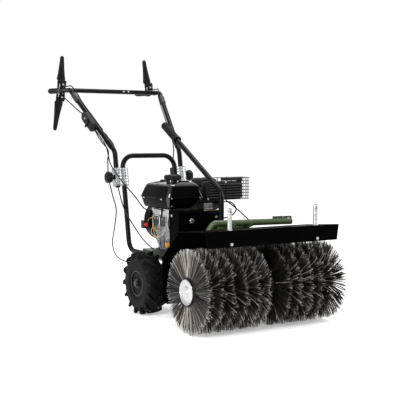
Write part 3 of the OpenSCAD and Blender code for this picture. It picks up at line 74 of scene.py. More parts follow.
class Nodes:
    """Adds shader nodes to a tree."""

    def __init__(self, tree):
        self.tree = tree

    def feed(self, node, sockets):
        """Gives sockets of a node a link or a constant each."""
        for key, value in sockets.items():
            if isinstance(value, bpy.types.NodeSocket):
                self.tree.links.new(value, node.inputs[key])
            else:
                node.inputs[key].default_value = value

    def node(self, kind, sockets, **values):
        """The outputs of a new node."""
        node = self.tree.nodes.new(kind)
        for key, value in values.items():
            setattr(node, key, value)
        self.feed(node, sockets)
        return node.outputs

    def remap(self, value, a, b, low, high):
        sockets = {"Value": value, "From Min": a, "From Max": b, "To Min": low, "To Max": high}
        return self.node("ShaderNodeMapRange", sockets)["Result"]

    def math(self, op, a, b, clamp=False):
        return self.node("ShaderNodeMath", {0: a, 1: b}, operation=op, use_clamp=clamp)[0]

    def seen(self, low, high):
        """A strength that is high to the camera, to reflections and through glass, and low as a light."""
        rays = self.node("ShaderNodeLightPath", {})
        total = self.math("ADD", rays["Is Camera Ray"], rays["Is Glossy Ray"], True)
        total = self.math("ADD", total, rays["Is Transmission Ray"], True)
        return self.remap(total, 0.0, 1.0, low, high)


class Surface(Nodes):
    """A node material: colour that varies, roughness and bump from noise, and lighter or duller edges."""

    def __init__(self, name):
        self.mat = bpy.data.materials.new(name)
        self.mat.use_nodes = True
        super().__init__(self.mat.node_tree)
        self.bsdf = self.tree.nodes["Principled BSDF"]
        self.coord = self.node("ShaderNodeTexCoord", {})["Object"]

    def noise(self, scale, detail, rough, stretch=None):
        source = self.coord
        if stretch:
            source = self.node("ShaderNodeMapping", {"Vector": source, "Scale": stretch})["Vector"]
        sockets = {"Vector": source, "Scale": scale, "Detail": detail, "Roughness": rough}
        return self.node("ShaderNodeTexNoise", sockets)["Fac"]

    def ramp(self, value, stops):
        n = self.tree.nodes.new("ShaderNodeValToRGB")
        while len(n.color_ramp.elements) < len(stops):
            n.color_ramp.elements.new(0.5)
        for e, (pos, colour) in zip(n.color_ramp.elements, stops):
            e.position = pos
            e.color = (*colour, 1.0)
        self.feed(n, {"Fac": value})
        return n.outputs["Color"]

    def tones(self, noise, dark, light):
        return self.ramp(noise, list(zip(NOISE, (dark, light))))

    def weigh(self, a, b, share):
        """A share of one value and the rest of another."""
        return self.math("ADD", self.math("MULTIPLY", a, share), self.math("MULTIPLY", b, 1.0 - share))

    def mix(self, share, a, b):
        """From the colour a to the constant colour b."""
        return self.node("ShaderNodeMix", {0: share, 6: a, 7: (*b, 1.0)}, data_type="RGBA")[2]

    def edge(self, radius):
        """1 along the outer and inner edges of the form and 0 on its flats, with the rounded normal."""
        bevel = self.node("ShaderNodeBevel", {"Radius": radius}, samples=4)["Normal"]
        flat = self.node("ShaderNodeNewGeometry", {})["Normal"]
        cosine = self.node("ShaderNodeVectorMath", {0: bevel, 1: flat}, operation="DOT_PRODUCT")["Value"]
        return self.remap(cosine, *EDGE_COSINE, 0.0, 1.0), bevel

    def lacquer(self):
        """A clear coat on upper faces and round upright corners."""
        normal = self.node("ShaderNodeNewGeometry", {})["Normal"]
        split = self.node("ShaderNodeSeparateXYZ", {"Vector": normal})
        upper = self.remap(split["Z"], *UPPER, 0.0, 1.0)
        product = self.math("ABSOLUTE", self.math("MULTIPLY", split["X"], split["Y"]), 0.0)
        weight = self.math("MAXIMUM", upper, self.remap(product, *CORNER, 0.0, 1.0))
        self.feed(self.bsdf, {"Coat Weight": weight, "Coat Roughness": 0.04, "Coat IOR": 1.6})

    def attribute(self, name):
        return self.node("ShaderNodeAttribute", {}, attribute_name=name)["Fac"]

    def bump(self, height, depth, normal=None, strength=1.0):
        sockets = {"Height": height, "Distance": depth, "Strength": strength}
        if normal:
            sockets["Normal"] = normal
        return self.node("ShaderNodeBump", sockets)["Normal"]

    def finish(self, colour, rough, **sockets):
        named = {key.replace("_", " "): value for key, value in sockets.items()}
        self.feed(self.bsdf, {"Base Color": colour, "Roughness": rough, **named})
        return self.mat


def coated(name, dark, light, rough, spread, mottle, grain, peel, wear, share, specular, lacquer=False):
    """Paint, plastic or rubber: mottled tone, fine grain, worn edges and, if asked for, lacquer."""
    s = Surface(name)
    broad = s.noise(mottle, 5.0, 0.6)
    fine = s.noise(grain, 6.0, 0.6)
    edge, normal = s.edge(PAINT_EDGE)
    chips = s.remap(s.noise(mottle * 9.0, 6.0, 0.7), 0.42, 0.62, 0.0, share)
    colour = s.mix(s.math("MULTIPLY", edge, chips), s.tones(broad, dark, light), wear)
    roughness = s.remap(s.weigh(broad, fine, 0.6), *NOISE, rough - spread, rough + spread)
    if lacquer:
        s.lacquer()
    return s.finish(colour, roughness, Normal=s.bump(fine, peel, normal), Specular_IOR_Level=specular)


def plated(name, dark, light, rough, spread, mottle, brush, peel):
    """Bare or plated metal: cloudy tone, fine scratches along one way, and painted shade that darkens it in
    patches at the edges, as in recesses.
    """
    s = Surface(name)
    cloud = s.noise(mottle, 6.0, 0.65)
    lines = s.noise(brush, 3.0, 0.5, SCRATCH_STRETCH)
    edge, normal = s.edge(METAL_EDGE)
    # Painted shade: the colour darkens in noisy patches along the edges
    edge_shade = s.remap(s.noise(mottle * 5.0, 5.0, 0.7), 0.45, 0.65, 0.0, 0.35)
    tone = s.ramp(s.weigh(cloud, lines, 0.7), [(0.32, dark), (0.66, light)])
    colour = s.mix(s.math("MULTIPLY", edge, edge_shade), tone, tuple(c * 0.45 for c in dark))
    roughness = s.remap(cloud, *NOISE, rough - spread, rough + spread)
    return s.finish(colour, roughness, Normal=s.bump(lines, peel, normal), Metallic=1.0)


def cast_surface(name, dark, light, rough, metal):
    """Sand-cast metal: grainy, with grime in patches and brighter edges."""
    s = Surface(name)
    broad = s.noise(34.0, 5.0, 0.6)
    sand = s.noise(1100.0, 4.0, 0.7)
    edge, normal = s.edge(CAST_EDGE)
    grime = s.remap(s.noise(55.0, 7.0, 0.72), 0.5, 0.72, 0.0, 0.5)
    colour = s.mix(grime, s.tones(broad, dark, light), tuple(c * 0.4 for c in dark))
    rub = s.math("MULTIPLY", edge, s.remap(sand, *NOISE, 0.0, 0.5))
    colour = s.mix(rub, colour, tuple(min(1.0, c * 1.3) for c in light))
    roughness = s.remap(sand, *NOISE, rough - 0.1, rough + 0.1)
    return s.finish(colour, roughness, Normal=s.bump(sand, 0.0007, normal), Metallic=metal)


def bristle_surface():
    """Wire coloured by its own tone, with painted shade darkening it towards its root and a painted highlight
    lightening its tip.
    """
    s = Surface("bristle_wire")
    tone = s.attribute("tone")
    reach = s.attribute("reach")
    speck = s.noise(900.0, 3.0, 0.6)
    base = s.ramp(tone, [(0.0, (0.0050, 0.0045, 0.0040)), (0.45, (0.020, 0.018, 0.0155)),
                         (0.75, (0.068, 0.062, 0.054)), (1.0, (0.40, 0.375, 0.335))])
    # Painted highlight: the wire's tip is lightened in step with its tone
    tip_highlight = s.remap(reach, 0.86, 1.0, 0.0, 0.75)
    colour = s.mix(s.math("MULTIPLY", tip_highlight, tone), base, (0.62, 0.60, 0.56))
    # Painted shade: the wire darkens towards its root, deep in the brush
    shade = s.math("MULTIPLY", s.remap(reach, 0.0, 0.75, 0.92, 0.0), s.remap(tone, 0.55, 0.8, 1.0, 0.0))
    colour = s.mix(shade, colour, (0.0025, 0.0022, 0.0020))
    roughness = s.remap(speck, *NOISE, 0.42, 0.62)
    return s.finish(colour, roughness, Normal=s.bump(speck, 0.0003, strength=0.6), Specular_IOR_Level=0.3)


def tyre_surface():
    """Rubber with dust in patches, heavier at the edges of the lugs, where its lighter colour is also a
    painted highlight.
    """
    s = Surface("tyre_rubber")
    broad = s.noise(26.0, 5.0, 0.6)
    fine = s.noise(1400.0, 5.0, 0.65)
    dust = s.remap(s.noise(70.0, 6.0, 0.7), 0.48, 0.72, 0.0, 0.55)
    edge, normal = s.edge(CAST_EDGE)
    colour = s.tones(broad, (0.0018, 0.0018, 0.0019), (0.0042, 0.0042, 0.0044))
    # Dust in patches, lifted along the lug edges as a painted highlight
    dust_and_edge_highlight = s.math("MULTIPLY", dust, s.remap(edge, 0.0, 1.0, 0.25, 0.9))
    colour = s.mix(dust_and_edge_highlight, colour, (0.014, 0.0135, 0.013))
    roughness = s.remap(fine, *NOISE, 0.46, 0.68)
    return s.finish(colour, roughness, Normal=s.bump(fine, 0.0004, normal), Specular_IOR_Level=0.07)


# Name, dark and light tone, roughness and its spread, scales of mottle and grain, depth of the grain, colour
# and share of wear, specular level and, for one, lacquer
COATS = {
    "green_paint": ("olive_paint", (0.034, 0.058, 0.019), (0.052, 0.085, 0.03),
        0.26, 0.05, 22, 700, 0.00012, (0.14, 0.17, 0.1), 0.45, 0.45),
    "black_paint": ("black_powder_coat", (0.0018, 0.0018, 0.002), (0.0042, 0.0042, 0.0046),
        0.26, 0.06, 18, 900, 0.00012, GREY, 0.25, 0.1),
    "hood_paint": ("black_sheet_gloss", (0.0006, 0.0006, 0.0006), (0.0015, 0.0015, 0.0016),
        0.4, 0.06, 12, 500, 0.00008, GREY, 0.15, 0.006),
    "engine_black": ("engine_gloss_black", (0.0008, 0.0008, 0.0008), (0.0018, 0.0018, 0.0019),
        0.05, 0.02, 14, 420, 0.00003, GREY, 0.15, 0.02, True),
    "heat_black": ("heat_black", (0.0035, 0.0035, 0.0036), (0.01, 0.0098, 0.0095),
        0.42, 0.1, 30, 900, 0.0002, (0.08, 0.075, 0.07), 0.5, 0.16),
    # A lighter copy of heat_black, with lighter edges, for the louvre lips: painted light where the lips face
    # the lamps
    "louvre_black": ("louvre_black", (0.026, 0.026, 0.026), (0.046, 0.046, 0.045),
        0.36, 0.08, 30, 900, 0.0002, (0.09, 0.085, 0.08), 0.6, 0.3),
    "black_plastic": ("moulded_black", (0.0022, 0.0022, 0.0024), (0.0055, 0.0055, 0.0058),
        0.36, 0.08, 30, 1500, 0.00025, (0.02, 0.02, 0.021), 0.3, 0.12),
    "red_plastic": ("red_plastic", (0.42, 0.012, 0.012), (0.62, 0.02, 0.018),
        0.32, 0.06, 60, 1500, 0.00015, (0.75, 0.16, 0.12), 0.5, 0.5),
    "yellow_plastic": ("yellow_plastic", (0.62, 0.31, 0.01), (0.78, 0.42, 0.025),
        0.36, 0.06, 60, 1500, 0.00015, (0.9, 0.65, 0.2), 0.5, 0.5),
    "rubber": ("grip_rubber", (0.0035, 0.0035, 0.0037), (0.0085, 0.0085, 0.0088),
        0.5, 0.08, 40, 2200, 0.0003, (0.03, 0.03, 0.03), 0.6, 0.1),
    "grey_rubber": ("grey_sleeve", (0.018, 0.018, 0.0185), (0.03, 0.03, 0.031),
        0.5, 0.08, 60, 1800, 0.00025, (0.1, 0.1, 0.1), 0.6, 0.3),
    "cable_sheath": ("cable_sheath", (0.003, 0.003, 0.0031), (0.0075, 0.0075, 0.0078),
        0.4, 0.06, 80, 1600, 0.00015, (0.03, 0.03, 0.03), 0.5, 0.12),
}
# Name, dark and light tone, roughness and its spread, scales of mottle and scratches, depth of the scratches
METALS = {
    "zinc": ("bright_zinc", (0.3, 0.305, 0.31), (0.5, 0.505, 0.51), 0.28, 0.09, 70, 700, 0.00012),
    "zinc_disc": ("pressed_zinc", (0.4, 0.405, 0.41), (0.54, 0.545, 0.55), 0.2, 0.06, 9, 160, 0.00001),
    "yellow_zinc": ("yellow_zinc", (0.45, 0.32, 0.1), (0.66, 0.5, 0.2), 0.32, 0.08, 80, 900, 0.0001),
    "steel": ("turned_steel", (0.13, 0.13, 0.135), (0.32, 0.32, 0.33), 0.34, 0.1, 40, 1400, 0.00015),
    "guard_plate": ("guard_wire", (0.1, 0.1, 0.105), (0.3, 0.3, 0.31), 0.28, 0.08, 80, 1200, 0.0001),
}
# Name, dark and light tone, roughness and metallic share
CASTINGS = {
    "cast_iron": ("cast_iron", (0.006, 0.006, 0.006), (0.018, 0.018, 0.018), 0.55, 0),
    "cast_alloy": ("cast_alloy", (0.115, 0.118, 0.121), (0.3, 0.305, 0.31), 0.38, 0.8),
    "sooted_alloy": ("sooted_alloy", (0.02, 0.02, 0.021), (0.055, 0.054, 0.053), 0.5, 0.6),
}
MAT = {"tyre": tyre_surface(), "bristle": bristle_surface()}
for make, table in ((coated, COATS), (plated, METALS), (cast_surface, CASTINGS)):
    for key, row in table.items():
        MAT[key] = make(*row)

# Forms

DOME_ANGLES = (0.5, 0.95, 1.3, 1.5)
# Radius at which a turned profile starts or ends on its axis
AXIS_R = 0.1


def add(name, data):
    """A new object in the scene."""
    obj = bpy.data.objects.new(name, data)
    SCENE.collection.objects.link(obj)
    return obj


def unit(v):
    return Vector(v).normalized()


def span(a, b):
    return min(a, b), max(a, b)


def cross_frame(way):
    """Two unit vectors square to a way."""
    way = unit(way)
    side = Vector(UP) if abs(way.z) < 0.9 else Vector(LEFT)
    u = side.cross(way).normalized()
    return u, way.cross(u)


def filleted(points, radius, steps):
    """A line through the points with a round bend at each inner one."""
    points = [Vector(p) for p in points]
    out = [points[0]]
    for a, b, c in zip(points, points[1:], points[2:]):
        p, q = (a - b).normalized(), (c - b).normalized()
        half = p.angle(q) / 2
        cut = min(radius / tan(half), 0.49 * (a - b).length, 0.49 * (c - b).length)
        for i in range(steps + 1):
            t = i / steps
            out.append((b + p * cut) * (1 - t) ** 2 + b * 2 * t * (1 - t) + (b + q * cut) * t ** 2)
    return out + [points[-1]]


def spline(points, steps):
    """A smooth line through the points."""
    p = [Vector(q) for q in points]
    out = []
    for i in range(len(p) - 1):
        a, b, c, d = p[max(0, i - 1)], p[i], p[i + 1], p[min(len(p) - 1, i + 2)]
        for k in range(steps):
            t = k / steps
            out.append((2 * b + (c - a) * t + (2 * a - 5 * b + 4 * c - d) * t * t
                        + (3 * b - a - 3 * c + d) * t ** 3) / 2)
    return out + [p[-1]]


class Form:
    """Gathers the vertices and faces of one piece, in millimetres."""

    def __init__(self):
        self.v, self.f, self.values = [], [], {}

    def add(self, verts, faces):
        n = len(self.v)
        self.v += [tuple(p) for p in verts]
        self.f += [tuple(i + n for i in f) for f in faces]

    def loft(self, rings):
        """Joins closed rings of equally many points and caps both ends."""
        n = len(rings[0])
        faces = []
        for i in range(len(rings) - 1):
            for k in range(n):
                j = (k + 1) % n
                faces.append((i * n + k, i * n + j, (i + 1) * n + j, (i + 1) * n + k))
        faces.append(tuple(reversed(range(n))))
        faces.append(tuple((len(rings) - 1) * n + k for k in range(n)))
        self.add([p for r in rings for p in r], faces)

    def tube(self, points, r, sides, round_ends=False):
        """Sweeps a circle along a line; r is one radius or one for each point."""
        points = [Vector(p) for p in points]
        radii = list(r) if isinstance(r, (list, tuple)) else [r] * len(points)
        if round_ends:
            domes = []
            for end, inner in ((0, 1), (-1, -2)):
                way = (points[end] - points[inner]).normalized()
                size = radii[end]
                domes.append([(points[end] + way * size * sin(a), size * cos(a)) for a in DOME_ANGLES])
            first, last = list(reversed(domes[0])), domes[1]
            points = [p for p, _ in first] + points + [p for p, _ in last]
            radii = [q for _, q in first] + radii + [q for _, q in last]
        rings = []
        u = None
        for i, p in enumerate(points):
            way = (points[min(len(points) - 1, i + 1)] - points[max(0, i - 1)]).normalized()
            if u is None:
                u, _ = cross_frame(way)
            u = (u - way * u.dot(way)).normalized()
            w = way.cross(u)
            rings.append([p + (u * cos(a) + w * sin(a)) * radii[i]
                          for a in (2 * pi * k / sides for k in range(sides))])
        self.loft(rings)

    def lathe(self, profile, origin, way, sides, lobes=None):
        """Turns (radius, distance along the way) pairs about an axis; lobes scales the radius by angle."""
        way = unit(way)
        u, w = cross_frame(way)
        rings = []
        for r, d in profile:
            ring = []
            for k in range(sides):
                a = 2 * pi * k / sides
                size = r * (lobes(a, r, d) if lobes else 1.0)
                ring.append(Vector(origin) + way * d + (u * cos(a) + w * sin(a)) * size)
            rings.append(ring)
        self.loft(rings)

    def box(self, x, y, z, c, turn=None):
        """A box with its edges cut at a small slope; turn is a function that moves its points."""
        (x0, x1), (y0, y1), (z0, z1) = x, y, z
        rings = []
        for zz, inset in ((z0, c), (z0 + c, 0), (z1 - c, 0), (z1, c)):
            a, b = x0 + inset, x1 - inset
            p, q = y0 + inset, y1 - inset
            k = c if inset == 0 else c * 0.6
            ring = [(a + k, p, zz), (b - k, p, zz), (b, p + k, zz), (b, q - k, zz),
                    (b - k, q, zz), (a + k, q, zz), (a, q - k, zz), (a, p + k, zz)]
            rings.append([turn(Vector(t)) if turn else Vector(t) for t in ring])
        self.loft(rings)

    def bolt(self, at, way, r, h, washer=True, socket=False):
        """A hexagon or socket bolt head with its washer; way points out of the face it sits on."""
        at, way = Vector(at), unit(way)
        start = 0.0
        if washer:
            rim = [(r * 1.45, 0), (r * 1.5, 0.5), (r * 1.45, 1.4)]
            self.lathe([(AXIS_R, 0)] + rim + [(AXIS_R, 1.4)], at, way, 20)
            start = 1.2
        top = start + h
        if socket:
            self.lathe([(AXIS_R, start), (r, start), (r, start + h * 0.8), (r * 0.85, top), (r * 0.45, top),
                        (r * 0.42, start + h * 0.5), (AXIS_R, start + h * 0.5)], at, way, 18)
        else:
            self.lathe([(AXIS_R, start), (r, start), (r, start + h * 0.75), (r * 0.86, top), (AXIS_R, top)],
                       at, way, 6)

    def paint(self, name, value, count):
        self.values.setdefault(name, []).extend([value] * count)


def piece(name, form, material, body="chassis", replaces=(), angle=38):
    """Makes a form into an object that moves with a body; a cable has none."""
    mesh = bpy.data.meshes.new(name)
    mesh.from_pydata([place(p) for p in form.v], [], form.f)
    mesh.validate()
    mesh.update()
    mesh.shade_smooth()
    mesh.set_sharp_from_angle(angle=radians(angle))
    for key, values in form.values.items():
        mesh.attributes.new(key, "FLOAT", "POINT").data.foreach_set("value", values)
    mesh.materials.append(MAT[material])
    obj = add(name, mesh)
    if replaces:
        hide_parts(*replaces)
    if body:
        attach(obj, body)
    return obj


def fasteners(name, rows, material="zinc", body="chassis"):
    """A piece of bolt heads; each row holds what Form.bolt takes."""
    form = Form()
    for row in rows:
        form.bolt(*row)
    piece(name, form, material, body)


def strips(name, rows, material, turn=None):
    """A piece of boxes on the chassis; each row holds spans in x, y and z and the cut of the edges."""
    form = Form()
    for row in rows:
        form.box(*row, turn)
    piece(name, form, material)


def leads(name, rows, material):
    """A piece of bent wires on the chassis; each row holds a radius, the sides and the points."""
    form = Form()
    for r, sides, points in rows:
        form.tube(spline(points, 8), r, sides)
    piece(name, form, material)


# Nodes that show their own solid, by material
CARRIED = {
    "green_paint": ["chassis_frame", "engine_deck", "head_frame"],
    "black_paint": ["handle_loop", "handlebar", "swivel_lever", "wheel_rims", "brush_drums", "bevel_case",
                    "lever_brackets", "clamp_plates"],
    "hood_paint": ["brush_hood", "belt_cover"],
    "zinc": ["frame_bolts", "apron_bolts"],
    "zinc_disc": ["hood_posts"],
    "cast_iron": ["axle"],
    "steel": ["axle_bearings", "crankshaft", "engine_pulley", "drive_shaft", "driven_pulley", "king_pin",
              "head_shaft", "brush_shaft"],
    "cast_alloy": ["gearbox_case", "crankcase_cover"],
    "sooted_alloy": ["engine_block", "cylinder_head", "rocker_cover", "carburettor"],
    "engine_black": ["blower_housing", "recoil_cover"],
    "black_plastic": ["switch_box", "starter_grip", "throttle_housing", "throttle_lever", "spark_plug"],
    "red_plastic": ["engine_switch"],
    "yellow_plastic": ["dipstick"],
    "rubber": ["drive_belt"],
}
for material, nodes in CARRIED.items():
    for node in nodes:
        obj = NODES[node]
        if not obj.material_slots:
            obj.data.materials.append(MAT[material])
        for s in obj.material_slots:
            s.material = MAT[material]

# Brush

BRUSH_R, BRUSH_Z, ROOT_R = 175, 175, 58
FIRST_ROW, LAST_ROW, ROWS, TUFTS = 47, 334, 6, 40
TUFT_WIRES, FAN_WIRES = 15, 17
# Shares of a wire's run with its size there, and the corners of its section
WIRE_RUN = ((0.0, 1.0), (0.75, 1.0), (1.0, 0.85))
WIRE_SECTION = ((1, 0), (-0.5, 0.87), (-0.5, -0.87))
TONE, TONE_SPREAD = 0.38, 0.33
# Lighter tones for the facing wires of the outer fan, a painted light on the fan's face
FAN_LIT_TONES = (0.3, 0.52, 0.66, 0.74, 0.8)
# Random seed of each half and the tone of its row beside the gap, painted shade on the left half and painted
# light on the right
HALVES = {1: (11, 0.16), -1: (12, 0.5)}
CAP_PROFILE = [(20, 0), (51.4, 0), (52, 0.8), (52, 6.2), (51.4, 7), (50, 7), (48.6, 6.4), (46, 4.2), (41, 3),
               (32, 1.9), (24, 1.5), (22.5, 1.9), (21.5, 3.4), (20, 3.9), (10, 3.9), (0.5, 3.9)]
BRUSH_CAP_X, CAP_BOLT_X = 345, 348.8


def wires(side, label):
    """Rows of wires that stand out from the drum; the outer row lies as an open fan whose facing wires are
    painted lighter as if lit, with a painted highlight streak on those near the vertical through the hub, and
    the row beside the gap takes a painted tone, shade on the left half and light on the right.
    """
    seed, gap_painted_tone = HALVES[side]
    rng = random.Random(seed)
    form = Form()
    for row in range(ROWS):
        mid = FIRST_ROW + (LAST_ROW - FIRST_ROW) * row / (ROWS - 1)
        outer = row == ROWS - 1
        for tuft in range(TUFTS):
            swing = rng.uniform(-0.02, 0.02)
            pull = rng.uniform(-9, 9)
            shade = rng.uniform(-0.1, 0.1)
            for k in range(FAN_WIRES if outer else TUFT_WIRES):
                turn = 2 * pi * (tuft + 0.5 * (row % 2) + rng.uniform(-0.5, 0.5)) / TUFTS
                root_x = mid + rng.uniform(-7, 7)
                tip_x = mid + (pull if row else max(pull, 0)) + rng.gauss(0, 6 if row else 4)
                lean = swing + rng.gauss(0, 0.03)
                reach = BRUSH_R - 12 * rng.random() ** 2
                tone = min(1, max(0, rng.gauss(TONE if row else gap_painted_tone, TONE_SPREAD) + shade))
                if outer:
                    face = k % 3
                    tip_x = mid + (rng.uniform(2, 11) if face else rng.uniform(-14, 0))
                    root_x = mid + (rng.uniform(2, 8) if face else rng.uniform(-6, 2))
                    reach = BRUSH_R - 16 * rng.random() ** 2
                    if face:
                        # Painted highlight: fan wires near the vertical through the hub are made lighter, a
                        # streak of reflection
                        streak_highlight = 0.22 * max(0, abs(sin(turn)) - 0.9) / 0.1
                        tone = rng.choice(FAN_LIT_TONES) + rng.uniform(-0.08, 0.08) + streak_highlight
                size = rng.uniform(0.95, 1.45)
                rings = []
                for t, width in WIRE_RUN:
                    r = ROOT_R + (reach - ROOT_R) * t
                    a = turn + lean * t
                    x = side * (root_x + (tip_x - root_x) * t)
                    c, q = cos(a), sin(a)
                    w = size * width
                    rings.append([(x + side * w * e, r * c - w * f * q, BRUSH_Z + r * q + w * f * c)
                                  for e, f in WIRE_SECTION])
                    form.paint("reach", t, 3)
                form.loft(rings)
                form.paint("tone", tone, 9)
    node = label + "_bristles"
    piece(label + "_wires", form, "bristle", "brush", replaces=[node], angle=80)
    ridges = [(r, d + 45 * k) for k in range(7) for r, d in ((61, 29), (64, 33), (64, 45), (61, 49))]
    core = Form()
    profile = [(ROOT_R, 27), (61, 28)] + ridges + [(61, 342), (57.5, 344)]
    core.lathe(profile, (0, 0, BRUSH_Z), (side, 0, 0), 60)
    piece(label + "_wires_backing", core, "rubber", "brush", [node])


for side, label in SIDES:
    wires(side, label)
for side, label in SIDES:
    cap = Form()
    cap.lathe(CAP_PROFILE, (side * BRUSH_CAP_X, 0, BRUSH_Z), (side, 0, 0), 72)
    cap.bolt((side * CAP_BOLT_X, 0, BRUSH_Z), (side, 0, 0), 8.6, 3)
    piece(label + "_dished_cap", cap, "zinc_disc", "brush", ["brush_caps"], angle=24)

# Tyres

AXLE_Y, AXLE_Z, TYRE_X = 484, 141, 286.5
LUGS, NUTS, NUT_CIRCLE_R = 14, 4, 37
# Half width of the tyre at each radius, from the bead to the tread
TYRE_LINE = [(38, 60.5), (41, 61.5), (44.5, 66), (46.3, 72), (45, 74), (46.6, 76), (47.2, 88),
             (46.6, 90), (47.2, 92), (46.2, 108), (42.5, 119), (36, 125.5), (24, 129.5), (10, 131)]
BEAD = (55.5, 38)
# Each lug runs from the middle of the tread over the shoulder and down the side wall. A row holds x, radius,
# turn in degrees, half width and depth of the lug there, and the way in which it is sunk
INWARD, SHOULDER, WALL = (0, -1, 0), (-0.6, -0.8, 0), (-1, -0.15, 0)
LUG_TRACK = [(-1.5, 141, 0, 5.6, 12, INWARD), (10, 141, 5.5, 7.4, 12, INWARD),
             (24, 141, 11.5, 7.4, 12, INWARD), (37, 140.6, 16, 7.4, 12, INWARD),
             (45.5, 138.6, 18.4, 7.4, 13, SHOULDER), (47.8, 128, 19.2, 7.4, 7, WALL),
             (47.6, 113, 19.6, 6.2, 3, WALL)]
LUG_SECTION = ((-1.3, -1), (-1, -0.12), (-0.85, 0), (0.85, 0), (1, -0.12), (1.3, -1))
# Valve stem: distance out of the tyre's middle, and back and up from the axle
VALVE = ((20, 44, 20), (38, 42, 19), (50, 40, 18))


def tyre(side, label):
    name, mid = label + "_lug_tyre", side * TYRE_X
    form = Form()
    halves = [(r, -x) for x, r in TYRE_LINE] + [(r, x) for x, r in reversed(TYRE_LINE)]
    form.lathe([(BEAD[0], -BEAD[1])] + halves + [BEAD], (mid, AXLE_Y, AXLE_Z), LEFT, 96)
    for k in range(LUGS):
        for s in (-1, 1):
            spin = (k + (s + 1) / 4) * 2 * pi / LUGS
            rings = []
            for x, r, lag, wide, deep, sink in LUG_TRACK:
                turn = spin + radians(lag)
                ring = []
                for dw, dr in LUG_SECTION:
                    q = Vector((x, r, 0)) - Vector(sink) * dr * deep
                    b = turn + dw * wide / q.y
                    ring.append((mid + s * q.x, AXLE_Y + q.y * sin(b), AXLE_Z + q.y * cos(b)))
                rings.append(ring if s > 0 else list(reversed(ring)))
            form.loft(rings)
    piece(name, form, "tyre", "wheels", replaces=[label + "_tyre"], angle=32)
    nuts = []
    for k in range(NUTS):
        a = radians(45 + 90 * k)
        at = (mid + side * 3, AXLE_Y + NUT_CIRCLE_R * cos(a), AXLE_Z + NUT_CIRCLE_R * sin(a))
        nuts.append((at, (side, 0, 0), 6.5, 5))
    fasteners(name + "_nuts", nuts, "steel", "wheels")
    valve = Form()
    valve.tube([(mid + side * x, AXLE_Y + y, AXLE_Z + z) for x, y, z in VALVE], [3.6, 3, 3], 12, True)
    piece(name + "_valve", valve, "rubber", "wheels")


for side, label in SIDES:
    tyre(side, label)

# Handlebar and grips: points of the left half, and runs along its grip tube and its slope

BEND, END = Vector((272, 1378, 1054)), Vector((272, 1666.575, 1062))
KNEE = Vector((187, 1004.05, 730))
CLAMP = Vector((187, 981.19, 600))
WAY, SLOPE = unit(END - BEND), unit(BEND - KNEE)
LEG_WAY = unit((0, 83, 472))
CROSSBAR_RUN, LEVER_RUN, HOUSING_RUN = 40, 143, 240
SLEEVE_RUN, COLLAR_RUN, WELD_X = 404, 30, 261
LEVER_END, LEVER_WAY = Vector((0, 821, 860)), unit((0, 531, 305))
SLEEVE = [(12.6, 0), (14.6, 1), (15.4, 3), (15.6, 24), (15.2, 58), (14.4, 61), (12.6, 62)]
COLLAR = [(12.6, 0), (14.4, 1.2), (15, 8), (15, 56), (14.4, 62), (12.6, 64)]
WELD = [(12.3, 0), (15.2, 2.5), (14.2, 5.5), (12.3, 9)]


def sided(side, p):
    return Vector((side * p[0], p[1], p[2]))


def on_bar(side, run, off=(0, 0, 0)):
    return sided(side, BEND + WAY * run) + Vector(off)


def on_slope(side, share, off=(0, 0, 0)):
    return sided(side, KNEE + (BEND - KNEE) * share) + Vector(off)


def by_clamp(side, off):
    return sided(side, CLAMP) + Vector(off)


def grip(name, end, way, length, r, node, body):
    """A rubber grip: ribbed between two plain bands, a rounded closed end and a flange at its mouth."""
    profile = [(0.5, 4.2), (r * 0.45, 4), (r * 0.8, 2.6), (r * 0.96, 0.2), (r, -3), (r, -12)]
    d = -14
    while d > -length + 22:
        profile += [(r - 0.9, d), (r - 0.9, d - 1.4), (r, d - 2.2), (r, d - 5)]
        d -= 6
    profile += [(r, d), (r, -length + 12), (r + 2.2, -length + 11), (r + 2.6, -length + 9),
                (r + 2.2, -length + 5), (r - 1.5, -length + 4.2), (12.9, -length + 4)]
    form = Form()
    form.lathe(profile, end, way, 36)
    piece(name, form, "rubber", body, replaces=[node], angle=30)


def weld_ripple(a, r, d):
    return 1 + 0.02 * sin(11 * a)


for side, label in SIDES:
    grip(label + "_hand_grip", sided(side, END), WAY, 135, 15.5, "handle_grips", "bar")
grip("swivel_lever_grip", LEVER_END, LEVER_WAY, 155, 19, "lever_grip", "head")

sleeves, collars = Form(), Form()
crossbar = on_bar(1, CROSSBAR_RUN)
for side, _ in SIDES:
    slope = sided(side, SLOPE)
    sleeves.lathe(SLEEVE, sided(side, KNEE + SLOPE * SLEEVE_RUN), slope, 32)
    collars.lathe(COLLAR, sided(side, KNEE) + slope * COLLAR_RUN, slope, 32)
    collars.lathe(WELD, (side * WELD_X, crossbar.y, crossbar.z), (-side, 0, 0), 28, weld_ripple)
piece("bar_sleeves", sleeves, "grey_rubber", "bar")
piece("bar_collars", collars, "black_paint", "bar")
fasteners("bar_rivets", [((x, crossbar.y - 12.2, crossbar.z + 2), (0, -1, 0.15), 3.6, 2, True, True)
                         for x in (60, 88)], body="bar")

# Hand levers: each stands off its bar with a lean to the middle and a slope to the rear
LEAN, BACK, PIN_RISE = radians(6), radians(7), 36
